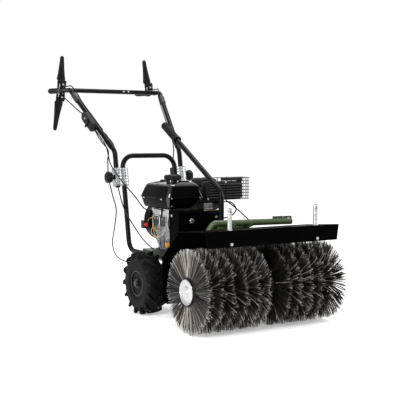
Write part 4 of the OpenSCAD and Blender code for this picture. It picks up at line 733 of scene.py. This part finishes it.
# Distance from the pin, half width and half thickness; the run beyond the waist stretches with the length
PADDLE = [(-10.8, 5, 2), (-9.6, 6.9, 5), (-6.5, 6.9, 8.8), (0, 6.9, 10.8), (7, 6.9, 9.6), (12, 7.2, 7.8),
          (15.5, 9.5, 7.2), (19, 16, 7), (24, 23.4, 7), (31, 24.6, 7), (48, 21.4, 7), (88, 16.2, 6.9),
          (124, 12.8, 6.8), (146, 11.2, 6.7), (152, 9.8, 6.4), (155.5, 6.6, 5), (157, 2.6, 2.2)]
WAIST, PADDLE_END, PADDLE_SIDES = 31, 157, 28
STOP_PROFILE = [(AXIS_R, 0), (4.4, 0), (4.4, 9), (3.4, 10), (3.4, 20), (3, 21), (AXIS_R, 21)]
SHROUD = [(-17, -6), (17, -6), (24, 14), (26, 40), (25.5, 54), (23, 58), (-23, 58), (-25.5, 54), (-26, 40),
          (-24, 14)]
SHROUD_MID = 22
SHROUD_DEPTHS = ((-18.2, 0.9), (-17.4, 0.97), (-16, 1), (-13.4, 1), (-12.4, 0.97))


def paddle(label, side, up, length, body):
    """A moulded hand lever: a hub between the ears, a broad crowned paddle beyond them and a rounded tip."""
    name = label + "_paddle"
    rise = Vector(LEFT).cross(WAY)
    out = (rise * cos(LEAN) - Vector(LEFT) * side * sin(LEAN)) * up
    pin_way = Vector(LEFT) * cos(LEAN) + rise * side * sin(LEAN)
    base = on_bar(side, LEVER_RUN) + out * PIN_RISE
    run = out * cos(BACK) + WAY * sin(BACK)
    face_way = WAY * cos(BACK) - out * sin(BACK)

    def by_pin(p):
        return base + out * p[2] + WAY * p[1] + pin_way * p[0]

    def by_bar(p):
        return on_bar(side, LEVER_RUN + p[1]) + pin_way * p[0] + out * p[2]

    def on_lever(p):
        return base + run * p[2] + face_way * p[1] + pin_way * p[0]

    rings = []
    for d, wide, thick in PADDLE:
        d = d if d < WAIST else WAIST + (d - WAIST) * (length - WAIST) / (PADDLE_END - WAIST)
        ring = []
        for k in range(PADDLE_SIDES):
            a = 2 * pi * k / PADDLE_SIDES
            c, q = cos(a), sin(a)
            p = abs(c) ** 0.6 * copysign(1, c)
            q = abs(q) ** 0.75 * copysign(1, q)
            ring.append(base + run * d + pin_way * wide * p + face_way * thick * q)
        rings.append(ring if up < 0 else list(reversed(ring)))
    form = Form()
    form.loft(rings)
    form.box((-2.2, 2.2), (-7.6, 7.6), (34, length - 34), 0.9, on_lever)
    piece(name, form, "black_plastic", body, replaces=[label + "_lever"], angle=50)
    fasteners(name + "_pin", [(base + pin_way * k * 11.7, pin_way * k, 4.6, 3) for k in (1, -1)], body=body)
    clip = Form()
    for x in (10.4, -11.6):
        clip.box((x, x + 1.2), (-9, 9), (-20, 7), 0.4, by_pin)
    clip.tube([by_pin((0, y, z)) for y, z in ((-12, -18), (-17, -12), (-17, -3), (-14, 5))], 1.6, 8)
    for k in (1, -1):
        clip.bolt(by_pin((k * 11.6, 3, -16)), pin_way * k, 3.4, 3)
    clip.lathe(STOP_PROFILE, by_pin((0, -12, -14.4)), -WAY, 14)
    piece(name + "_clip", clip, "black_paint", "bar")
    rings = [[by_bar((x * k, d, SHROUD_MID + (z - SHROUD_MID) * k)) for x, z in SHROUD]
             for d, k in SHROUD_DEPTHS]
    shroud = Form()
    shroud.loft(rings if up > 0 else [list(reversed(r)) for r in rings])
    piece(name + "_shroud", shroud, "black_plastic", "bar", angle=30)
    tabs = Form()
    for x, low, high in ((-13, -4, 36), (9, 8, 17)):
        tabs.box((x - 3, x + 3), (-19.6, -18), (low, high), 0.6, by_bar)
    tabs.bolt(by_bar((8, -18, 34)), -WAY, 4, 3)
    piece(name + "_tabs", tabs, "zinc", "bar")


paddle("left", 1, 1, 157, "left_hand")
paddle("right", -1, 1, 157, "right_hand")
paddle("lower", -1, -1, 185, "low_hand")

# Clamps and knobs

TILT = atan2(LEG_WAY.y, LEG_WAY.z)
SKIN_Y, SKIN_Z, SKIN_ROWS, SKIN_COLUMNS, RIDGES = 22.3, 44, 34, 14, 6
JAW_X, JAW_END_X, JAW_EDGE_X = (168, 202.8), (167.4, 203.2), 203.4
PLATE_X = {1: (150, 166), -1: (-134, -166)}
KNOB_X, STUD_X = 204, (124, 206)
KNOB = [(11.5, 0), (12, 1), (11, 8), (14, 11), (21, 13), (26.5, 17), (29, 22.5), (29.6, 30), (28.4, 37),
        (25, 42), (18, 45.2), (9, 46.4), (0.5, 46.6)]


def in_clamp(p):
    """From the clamp's own frame, along and across the leg, to the machine's."""
    return Vector((p[0], CLAMP.y + p[1] * cos(TILT) + p[2] * sin(TILT),
                   CLAMP.z - p[1] * sin(TILT) + p[2] * cos(TILT)))


def stamped(form, x0, x1, out):
    """A pressed plate with rows of ridges across it, on the front or rear face of a clamp."""
    verts, faces = [], []
    for i in range(SKIN_ROWS + 1):
        z = -SKIN_Z + 2 * SKIN_Z * i / SKIN_ROWS
        for k in range(SKIN_COLUMNS + 1):
            x = x0 + (x1 - x0) * k / SKIN_COLUMNS
            u = (k / SKIN_COLUMNS - 0.5) * 2
            ridge = abs(sin(pi * i * RIDGES / SKIN_ROWS))
            lift = 0.7 + 2.2 * ridge * (1 - u ** 4) + 1.4 * cos(u * 4.2)
            verts.append(in_clamp((x, out * SKIN_Y + out * max(0.4, lift), z)))
    n = SKIN_COLUMNS + 1
    for i in range(SKIN_ROWS):
        for k in range(SKIN_COLUMNS):
            q = (i * n + k, i * n + k + 1, (i + 1) * n + k + 1, (i + 1) * n + k)
            faces.append(q if out * (x1 - x0) < 0 else tuple(reversed(q)))
    form.add(verts, faces)


def knob_lobes(a, r, d):
    return 1 + (0.03 * cos(7 * a) if r > 18 else 0)


for side, label in SIDES:
    jaw, plate = Form(), Form()
    for out in (-1, 1):
        stamped(jaw, side * JAW_X[0], side * JAW_X[1], out)
        stamped(plate, *PLATE_X[side], out)
    jaw.box((side * JAW_EDGE_X - 0.7, side * JAW_EDGE_X + 0.7), (-21.5, 21.5), (-44, 44), 0.5, in_clamp)
    for ends in ((44.4, 46), (-46, -44.4)):
        jaw.box(span(side * JAW_END_X[0], side * JAW_END_X[1]), (-22.6, 22.6), ends, 0.5, in_clamp)
    piece(label + "_jaw_skin", jaw, "zinc", "bar")
    piece(label + "_plate_skin", plate, "zinc")
    knob = Form()
    knob.lathe(KNOB, (side * KNOB_X, CLAMP.y, CLAMP.z), (side, 0, 0), 84, knob_lobes)
    knob.tube([(side * x, CLAMP.y, CLAMP.z) for x in STUD_X], 5, 16)
    piece(label + "_lobed_knob", knob, "black_plastic", label + "_clamp", [label + "_knob"], 45)

# Cables: RISE is their height over the bar; those on the bar start a little inside a stop or the housing

CABLE_R, INSET, RISE = 3, 0.9, 21.6
STOP = LEVER_RUN - 11 - INSET
SLOPE_OUT = unit(Vector(LEFT) - SLOPE * SLOPE.x)
HOUSING_OUT = SLOPE_OUT * (12.8 + 32.8) / 2
HOUSING_END = HOUSING_RUN - 38 - 27 - INSET


def inner_route(side):
    """Along the inner side of the bar, from the lever's stop to below the clamp."""
    inward = -side
    return [on_bar(side, STOP, (0, 0, RISE)), on_bar(side, CROSSBAR_RUN, (0, 0, RISE)),
            on_bar(side, 0, (inward * 10, 0, 20)), on_slope(side, 0.9, (inward * 20, 0, 8)),
            *[on_slope(side, share, (inward * 20, 0, 0)) for share in (0.78, 0.48, 0.25)],
            on_slope(side, 0.08, (inward * 20, 8, 0)), by_clamp(side, (inward * 16, 58, 84)),
            by_clamp(side, (inward * 16, 44, 0))]


ROUTES = {
    "throttle_cable": ("right_cables", [
        sided(-1, KNEE + SLOPE * HOUSING_END + HOUSING_OUT),
        sided(-1, KNEE + SLOPE * (HOUSING_END - 48) + HOUSING_OUT),
        on_slope(-1, 0.08, (-30, -6, -4)), by_clamp(-1, (-34, 16, 84)), by_clamp(-1, (-28, -10, 46)),
        (-205, 870, 576), (-199, 761, 518), (-199, 690, 478), (-200, 650, 463), (-200, 605.3, 462)]),
    "clutch_cable": ("right_cables", inner_route(-1) + [
        (-172, 985, 520), (-176, 930, 450), (-175, 872, 401), (-174, 752, 325), (-172, 660, 284),
        (-171, 592, 270), (-171, 560.9, 267)]),
    "drive_cable": ("right_cables", [
        on_bar(-1, STOP, (0, 0, -RISE)), on_slope(-1, 0.78, (0, 24, -36)), on_slope(-1, 0.64, (0, 17, -21)),
        on_slope(-1, 0.48, (0, 15, -18)), on_slope(-1, 0.25, (-10, 18, -22)),
        on_slope(-1, 0.08, (-8, 20, -20)), by_clamp(-1, (-18, 70, 84)), by_clamp(-1, (-20, 58, 0)),
        (-204, 1000, 510), (-200, 966, 440),
        (-200, 985, 350), (-200, 1012, 265), (-200, 970, 205), (-185, 870, 182), (-120, 720, 172),
        (-50, 630, 170), (-24, 588, 170), (-20, 556.9, 170)]),
    "lift_cable": ("left_cables", inner_route(1) + [
        (172, 985, 520), (170, 900, 484), (154, 750, 488), (136, 600, 496), (130, 480, 496), (126, 400, 496),
        (118, 348, 468), (90, 346, 440), (54, 356, 430), (22.9, 360, 429)]),
    "lock_cable": ("left_cables", [(100, 406, 506.7), (80, 270, 470), (59, 145, 432)]),
}
for name, (node, route) in ROUTES.items():
    form = Form()
    form.tube(spline(route, 10), CABLE_R, 12)
    obj = piece(name, form, "cable_sheath", None, replaces=[node], angle=60)
    if name == "lock_cable":
        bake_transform(obj)
    else:
        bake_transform(obj)

# Engine

CRANK_X, CRANK_Z = -130, 415
CORNER_STEPS = 8


def rounded_ring(x, y, z, r):
    """A rounded rectangle as points, anticlockwise seen from above."""
    corners = ((x[1] - r, y[1] - r), (x[0] + r, y[1] - r), (x[0] + r, y[0] + r), (x[1] - r, y[0] + r))
    out = []
    for i, (cx, cy) in enumerate(corners):
        for k in range(CORNER_STEPS + 1):
            a = radians(90 * i + 90 * k / CORNER_STEPS)
            out.append(Vector((cx + r * cos(a), cy + r * sin(a), z)))
    return out


# Tank: how far each ring stands in at its right, left and ends, its height and the radius of its corners
TANK_X, TANK_Y = (-226, -30), (382, 654)
TANK = [(19, 60, 21, 478, 18), (14, 52, 16, 479, 20), (11, 46, 12, 483, 22), (6, 28, 6.5, 500, 24),
        (2.5, 10, 2.5, 515, 24), (1.5, 3, 1.5, 523.5, 24), (-2.5, -2.5, -2.5, 524.4, 27),
        (-3.8, -3.8, -3.8, 525.6, 28), (-4, -4, -4, 527.5, 28), (-3.6, -3.6, -3.6, 529.6, 28),
        (0.6, 0.6, 0.6, 530.4, 25), (1.4, 1.2, 1.2, 534, 25), (5, 4, 3.5, 546, 26), (10.5, 8, 7, 560, 27),
        (16, 13, 11.5, 574, 28), (19.5, 17, 15.5, 582, 29), (24, 22, 20, 586.4, 29), (38, 28, 27, 590.2, 27),
        (54, 34, 34, 593.6, 25), (68, 40, 42, 596.4, 23), (75, 45, 50, 597.6, 20), (76, 46, 51, 602.2, 20),
        (80, 50, 55, 603.4, 17)]
NECK_X, NECK_Y, NECK_Z, CAP_Z = -143.68, 480, 598, 606.3
FUEL_CAP = [(26, 0), (38, 0), (38.9, 1), (38.9, 3), (38.6, 4.5), (38.6, 16.5), (37.4, 19.2), (33.5, 21.6),
            (31.5, 22.2), (30, 21.2), (16, 21.4), (13, 23.7), (0.5, 23.9)]
CAP_AT = Vector((NECK_X, NECK_Y, CAP_Z))


def cap_ribs(a, r, d):
    return 1 + (0.03 * (1 if cos(24 * a) > 0 else -1) if 38 < r < 40 and d > 2 else 0)


tank = Form()
tank.loft([rounded_ring((TANK_X[0] + right, TANK_X[1] - left), (TANK_Y[0] + ends, TANK_Y[1] - ends), z, r)
           for right, left, ends, z, r in TANK])
tank.lathe([(30, -6), (30, 6.5), (29, 8), (25, 8), (25, 2)], (NECK_X, NECK_Y, NECK_Z), UP, 40)
piece("pressed_tank", tank, "engine_black", replaces=["fuel_tank"], angle=28)
fasteners("tank_bolts", [
    *[((x, y, 523.6), DOWN, 5, 4) for x in (-229.2, -26.8) for y in (430, 600)],
    *[((x, 378.6, 527), FRONT, 3.4, 2.4, False) for x in (-205, -60)],
    ((-196, 395, 492), (0, -1, -0.35), 4.2, 3.4)])
cap = Form()
cap.lathe(FUEL_CAP, CAP_AT, UP, 144, cap_ribs)
cap.box((-26, 26), (-4.5, 4.5), (20.5, 23.8), 1.4, lambda t: t + CAP_AT)
piece("ribbed_cap", cap, "black_plastic", "cap", replaces=["fuel_cap"], angle=40)

# Muffler: a shell with a rounded upper edge, louvred front and pinched seams, beside an open wire guard
MUFFLER_Y, MUFFLER_Z = 419, 553
MUFFLER = [(396, 512), (396, 586), (398, 591), (402, 594.6), (408, 596), (434, 596), (440, 593), (442, 588),
           (442, 513), (439, 510), (399, 510)]
MUFFLER_ENDS = ((-12, 0.93), (-10.5, 0.985), (-8, 1), (180, 1), (182.5, 0.985), (184, 0.93))
LOUVRES_Z = [516 + 12 * i for i in range(6)]
LIP = ((396.6, 2), (393, 5), (391.8, 7.2), (392.6, 8), (396.4, 8.4), (400, 5))
SIDE_LIP = ((184, 0), (187.4, 4), (188.2, 7.4), (187.4, 8.2), (184.2, 8.6), (181, 4))
shell = Form()
shell.loft([[Vector((x, MUFFLER_Y + (y - MUFFLER_Y) * k, MUFFLER_Z + (z - MUFFLER_Z) * k))
             for y, z in MUFFLER] for x, k in MUFFLER_ENDS])
for x in (-10, -5, 0):
    shell.box((x - 1.1, x + 1.1), (393.4, 397), (514, 590), 0.6)
shell.box((62, 92), (441, 448), (512, 532), 1.5)
piece("louvred_muffler", shell, "heat_black", "chassis", ["muffler"], angle=40)
louvres = Form()
for z in LOUVRES_Z:
    for ends in ((4, 88), (92, 178)):
        louvres.loft([[Vector((x, y, z + dz)) for y, dz in LIP] for x in ends])
    louvres.loft([[Vector((x, y, z + dz)) for x, dz in SIDE_LIP] for y in (436, 402)])
# The louvre lips in their lighter black, a painted light
piece("muffler_louvres", louvres, "louvre_black", "chassis", angle=40)
# Black strips behind the louvre lips, painted shade in the gaps between them
strips("louvre_gap_shade", [((3, 180), (395, 396.6), (z - 2.6, z + 1.9), 0.3) for z in LOUVRES_Z],
       "hood_paint")
strips("muffler_lid", [
    ((64, 226), (397, 468), (611.4, 613.4), 0.7),
    *[((x - 2, x + 2), y, (594, 612), 0.7) for x in (70, 124, 178) for y in ((398, 402), (434, 438))],
    ((64, 184), (396.4, 398), (599, 612.4), 0.6),
    ((182.6, 184), (397, 441), (594, 612.4), 0.6)], "heat_black")
fasteners("muffler_bolts", [
    *[((x, 395.6, z), FRONT, 3.4, 2.6) for x, z in ((-6, 517), (176, 514), (90, 592))],
    ((112, 419, 613.4), UP, 4.5, 3.5),
    ((68, 443, 522), REAR, 5, 5)])

GUARD_X, GUARD_Y, GUARD_Z = (184, 225.4), (397.6, 440.4), (511.6, 610.4)
GUARD_R, GUARD_BEND, GUARD_HOOPS = 1.5, 6, 8
(x0, x1), (y0, y1), (z0, z1) = GUARD_X, GUARD_Y, GUARD_Z
hoops = []
for i in range(GUARD_HOOPS):
    z = z0 + (z1 - z0) * i / (GUARD_HOOPS - 1)
    hoops.append(filleted([(x0, y0, z), (x1, y0, z), (x1, y1, z), (x0, y1, z)], GUARD_BEND, 6))
hoops += [[(x, y, z0), (x, y, z1)] for y in GUARD_Y for x in (190, 204, 218)]
hoops += [filleted([(x0, y, z0), (x1, y, z0), (x1, y, z1), (x0, y, z1)], GUARD_BEND, 6) for y in (412, 426)]
guard = Form()
for hoop in hoops:
    guard.tube(hoop, GUARD_R, 8)
piece("wire_guard", guard, "guard_plate", replaces=["muffler_guard"], angle=60)

# Belt cover: turned edges, slots along its upper edge, a mesh vent, bolts and a yellow strip along its top
COVER_X, COVER_TOP, MESH_R = (-204, 24), (464, 470.4), 0.9
strips("cover_edges", [
    (COVER_X, (322.4, 326.2), COVER_TOP, 1),
    (COVER_X, (400.6, 403), (300, 470), 1),
    ((-204.2, -201.2), (324, 402), COVER_TOP, 1),
    ((-202, 22), (330, 396), (467.6, 469.6), 0.8),
    *[((x, x + 2.4), (322.8, 326), (262, 468), 0.8) for x in (-202.8, 20.4)],
    *[((x, x + 38), (323.2, 325), (290, 293), 0.8) for x in (-150, -90, -30)]], "hood_paint")
strips("cover_slots", [((x, x + 5), (322, 325.6), (456, 463.4), 0.7) for x in range(-46, 4, 10)],
       "rubber")
vent = Form()
for x in range(-22, 26, 6):
    vent.tube([(x, 402, 472), (x, 402, 496)], MESH_R, 6)
for i in range(5):
    vent.tube([(-23, 402.8, 473 + i * 5.5), (21, 402.8, 473 + i * 5.5)], MESH_R, 6)
for z in ((469, 472), (495.5, 498)):
    vent.box((-25, 23), (401, 404.4), z, 0.6)
piece("cover_mesh", vent, "zinc")
fasteners("cover_bolts", [((-8, 318.8, 441), FRONT, 4.6, 3.4), ((-137, 319, 428), FRONT, 8.4, 5.5)])
# A yellow strip along the top of the cover
strips("cover_yellow_strip", [((-66, 20), (328.6, 330.4), (468.6, 471), 0.5)], "yellow_zinc")

# Crankcase: a cast shell round the block, ribs, bolts, governor plate and arm, wires and the tank's stays.
# A row of the shell holds its height, its right side and its back
CASE = ((281, -186, 503), (300, -189, 519), (320, -192, 533), (345, -198, 545), (370, -203.5, 551),
        (400, -207.5, 552), (424, -208.5, 551), (446, -206, 549), (460, -200, 545), (467, -190, 538))
CASE_RIM = [(-187, 505, 284), (-191, 521, 302), (-194, 534, 322), (-200, 545, 346), (-206, 549, 372),
            (-209, 549.5, 400), (-210, 548, 424), (-207, 546, 446)]
CASE_LEFT, CASE_FRONT, CASE_CORNER = -62, 412.6, 14
ARM_X = (-215.4, -213.6)
case = Form()
case.loft([rounded_ring((x, CASE_LEFT), (CASE_FRONT, back), z, CASE_CORNER) for z, x, back in CASE])
case.tube(spline(CASE_RIM, 6), 4.2, 10)
for i in range(4):
    case.box((-200 - i % 2 * 3, -184), (446 + i * 19, 450.5 + i * 19), (292 + i * 4, 352), 1.6)
case.box((-206, -184), (446, 512), (352, 357), 1.6)
case.lathe([(26, -12), (26, 0), (24, 2.4), (14, 2.8), (12.5, 1.2), (0.5, 1.2)], (-205, 472, 372), RIGHT, 36)
piece("crankcase_ribs", case, "cast_alloy", angle=30)
strips("governor_plate", [
    ((-212, -205), (440, 532), (396, 438), 2.4),
    ((-215, -210), (500, 528), (398, 418), 2),
    ((-214, -210), (446, 470), (404, 432), 2)], "cast_iron")
arm = Form()
arm.box(ARM_X, (474, 480), (396, 446), 0.7)
arm.box(ARM_X, (474, 524), (440, 446), 0.7)
arm.tube(spline([(-214, 522, 443), (-217, 545, 441), (-217, 566, 446)], 8), 1.2, 8)
for y, z in ((452, 428), (496, 430), (524, 430), (486, 402)):
    arm.bolt((-211.8, y, z), RIGHT, 3.6, 3)
piece("governor_arm", arm, "zinc")
fasteners("crankcase_bolts", [
    ((-189, 478, 300), RIGHT, 7, 5),
    *[(at, RIGHT, 5, 5) for at in ((-203.5, 428, 446), (-203.5, 540, 382), (-203.5, 428, 380),
                                       (-197, 530, 340), (-191, 512, 300), (-197, 430, 340))]])
leads("yellow_wires", [
    (1.3, 8, [(-229, 566, 412), (-226, 556, 424), (-218, 542, 432), (-212, 531, 440)]),
    (1.3, 8, [(-215, 532, 404), (-217, 540, 392), (-215, 530, 380), (-213, 512, 371), (-210, 474, 377)]),
    (1.3, 8, [(-216, 540, 390), (-216, 555, 364), (-212, 541, 346), (-208, 510, 342), (-203, 484, 346)])],
      "yellow_plastic")
leads("green_wire", [
    (1.7, 8, [(-216, 524, 400), (-218, 506, 388), (-216, 486, 380), (-212, 470, 376)])], "green_paint")
leads("engine_leads", [
    (2.6, 8, [(-207, 548, 470), (-216, 512, 474), (-210, 452, 470), (-200, 412, 462)]),
    (3.2, 10, [(68, 421, 478), (64, 408, 486), (40, 416, 496), (-4, 434, 500), (-30, 448, 496),
               (-60, 470, 476)])], "cable_sheath")
strips("tank_stays", [
    ((-213, -209.5), (470, 556), (446, 476), 1.2),
    ((-213, -190), (470, 556), (474, 477), 1),
    ((-209, -205.5), (404, 456), (442, 476), 1.2),
    ((-209, -190), (404, 456), (474, 477), 1),
    ((-216, -212), (508, 526), (452, 462), 1)], "zinc")

# Recoil cover: cooling slots clear of the starter's grip, raised rings and bolts
RECOIL = Vector((CRANK_X, 640.1, CRANK_Z))
STARTER = Vector((-100, 640.1, 437))
SLOTS, SLOT_MID, STARTER_ROOM = 18, 30, 22
vents = Form()
for k in range(SLOTS):
    a = 2 * pi * k / SLOTS
    u = Vector((cos(a), 0, sin(a)))
    w = Vector((-sin(a), 0, cos(a)))
    if (RECOIL + u * SLOT_MID - STARTER).length < STARTER_ROOM:
        continue
    vents.box((18, 44), (-2.2, 2.2), (-0.3, 0.5), 0.25,
              lambda t: RECOIL + u * t.x + w * t.y + Vector((0, t.z, 0)))
piece("recoil_slots", vents, "rubber", "chassis")
ring = Form()
ring.lathe([(63.5, 0), (67, 0.4), (67.5, 3), (66, 4.8), (63, 5)], (CRANK_X, 605, CRANK_Z), REAR, 60)
ring.lathe([(13, 0), (14.5, 0.2), (14, 1.6), (8, 2), (AXIS_R, 2)], (CRANK_X, 640, CRANK_Z), REAR, 36)
piece("recoil_ring", ring, "engine_black")
fasteners("recoil_bolts", [((CRANK_X + 70 * cos(a), 604.8, CRANK_Z + 56 * sin(a)), REAR, 5, 4)
                           for a in (radians(30 + 120 * k) for k in range(3))])

# Cylinder head and air cleaner
CYLINDER_TILT = radians(25)


def in_cylinder(p):
    """From the cylinder's own frame, with x along its axis, to the machine's."""
    c, s = cos(CYLINDER_TILT), sin(CYLINDER_TILT)
    return Vector((CRANK_X + p[0] * c - p[2] * s, p[1], CRANK_Z + p[0] * s + p[2] * c))


CYLINDER_WAY = in_cylinder((1, 0, 0)) - in_cylinder((0, 0, 0))
fasteners("rocker_bolts", [(in_cylinder((256, y, z)), CYLINDER_WAY, 4.5, 4)
                           for y in (466, 524) for z in (-28, 28)])
strips("rocker_flange", [
    ((231, 237), (457, 533), (-37, 37), 2),
    ((250, 258.5), (470, 520), (-20, 20), 3)], "cast_alloy", turn=in_cylinder)
air = Form()
air.loft([rounded_ring((5 + i, 95 - i), (474 + i, 575 - i), z, 14 + i * 0.2) for z, i in
          ((566, 1.5), (567.5, 0), (598, 0), (604, 2.5), (607, 6.5), (608, 12))])
for i in range(6):
    air.box((16, 84), (488 + i * 14, 492 + i * 14), (606.6, 608.6), 0.8)
piece("ribbed_air_cleaner", air, "black_plastic", replaces=["air_cleaner"], angle=35)
nut = Form()
nut.lathe([(AXIS_R, 0), (7, 0), (7, 4), (5, 6), (AXIS_R, 6)], (50, 525, 608), UP, 20)
piece("air_cleaner_nut", nut, "zinc")

# Axle gearbox: ribs and bolts
strips("gearbox_ribs", [
    *[(span(s * 54.6, s * 58.6), (y - 2.5, y + 2.5), (96, 206), 1.2)
      for y in (430, 466, 502, 538) for s in (1, -1)],
    ((-57, 57), (410, 558), (148, 153), 1.4)], "cast_alloy")
fasteners("gearbox_bolts", [
    *[((s * 50, y, 85), DOWN, 5, 4) for y in (424, 544) for s in (1, -1)],
    ((0, 556.2, 110), REAR, 7, 5),
    *[((x, 556.2, 190), REAR, 5, 4) for x in (-44, 44)]])

# Carrier tube: the bolts and hook of its lug and the nut at its foot
lug = Form()
lug.bolt((215, 100.8, 437.5), UP, 4.6, 5)
lug.tube([(196, 90, 444), (196, 90, 452), (196, 104, 452.5), (196, 120, 446)], 2, 8)
lug.bolt((228, 94, 441), (0.2, -1, 0), 4.4, 4)
piece("carrier_bolts", lug, "zinc", "head")
fasteners("foot_nut", [((-150, 160, 352.6 + 16), (0, -0.65, 0.76), 9, 8)], "yellow_zinc", "head")

# Throttle housing: its two screws; and adjusters on the cables beside it
LID = 32.6
SIDE_OUT, SIDE_SLOPE = sided(-1, SLOPE_OUT), sided(-1, SLOPE)
HOUSING_LID = sided(-1, KNEE + SLOPE * HOUSING_RUN) + SIDE_OUT * LID
ADJUSTER = [(3.1, -14), (4.4, -13), (4.4, -3), (5.6, -2), (5.6, 4), (4.2, 5), (4.2, 14), (3.1, 15)]
fasteners("throttle_screw", [(HOUSING_LID + SIDE_SLOPE * 30, SIDE_OUT, 4.4, 2, True, True)], body="bar")
fasteners("throttle_lid_screw", [(HOUSING_LID - SIDE_SLOPE * 44, SIDE_OUT, 3.4, 2, True, True)],
          "black_plastic", "bar")
adjusters = Form()
for share, off in ((0.25, (-10, 18, -22)), (0.3, (20, 0, 0))):
    adjusters.lathe(ADJUSTER, on_slope(-1, share, off), SIDE_SLOPE, 14)
piece("cable_adjusters", adjusters, "zinc", "bar")

# Stage, light and camera, in metres

WHITE = (1.0, 1.0, 1.0, 1.0)
FLOOR = 30
floor = bpy.data.meshes.new("floor")
corners = [(x * FLOOR, y * FLOOR, 0) for x, y in ((-1, -1), (1, -1), (1, 1), (-1, 1))]
floor.from_pydata(corners, [], [(0, 1, 2, 3)])
stage = add("floor", floor)
pale = Surface("pale_floor")
grain = pale.noise(40.0, 3.0, 0.55)
floor.materials.append(pale.finish(
    pale.tones(grain, (0.95, 0.95, 0.95), (0.97, 0.97, 0.97)), pale.remap(grain, *NOISE, 0.75, 0.85),
    Specular_IOR_Level=0.1, Emission_Color=WHITE, Emission_Strength=pale.seen(0.0, 0.34)))

world = bpy.data.worlds.new("studio")
SCENE.world = world
world.use_nodes = True
sky = Nodes(world.node_tree)
sky.feed(sky.tree.nodes["Background"], {"Color": WHITE, "Strength": sky.seen(0.72, 1.0)})


def lamp(name, at, aim, size, power):
    data = bpy.data.lights.new(name, "AREA")
    data.shape = "RECTANGLE"
    data.size, data.size_y = size
    data.energy = power
    obj = add(name, data)
    obj.location = at
    obj.rotation_mode = "QUATERNION"
    obj.rotation_quaternion = (Vector(aim) - Vector(at)).to_track_quat("-Z", "Y")


lamp("key", at=(-2.6, -3.2, 3.0), aim=(0, -0.3, 0.4), size=(1.1, 1.1), power=95)
lamp("top", at=(0.6, 0.2, 3.6), aim=(0, 0, 0.3), size=(2.6, 0.35), power=70)
lamp("side", at=(3.4, -1.2, 1.8), aim=(0, -0.2, 0.5), size=(0.14, 2.0), power=45)
lamp("strip", at=(-3.2, -1.5, 1.0), aim=(0, -0.3, 0.5), size=(0.05, 1.9), power=40)

# The camera fitted to the photo: its place, how far it looks down and its heading, in degrees
EYE, LOOK_DOWN, HEADING = (-2.08490, -3.76105, 0.78777), 3.9409, -30.8547
camera = bpy.data.cameras.new("camera")
camera.lens = 78.4476
camera.sensor_width = 36.0
camera.clip_end = 200.0
eye = add("camera", camera)
eye.location = EYE
eye.rotation_euler = (radians(90 - LOOK_DOWN), 0.0, radians(HEADING))
SCENE.camera = eye
SCENE.view_settings.view_transform = "Standard"
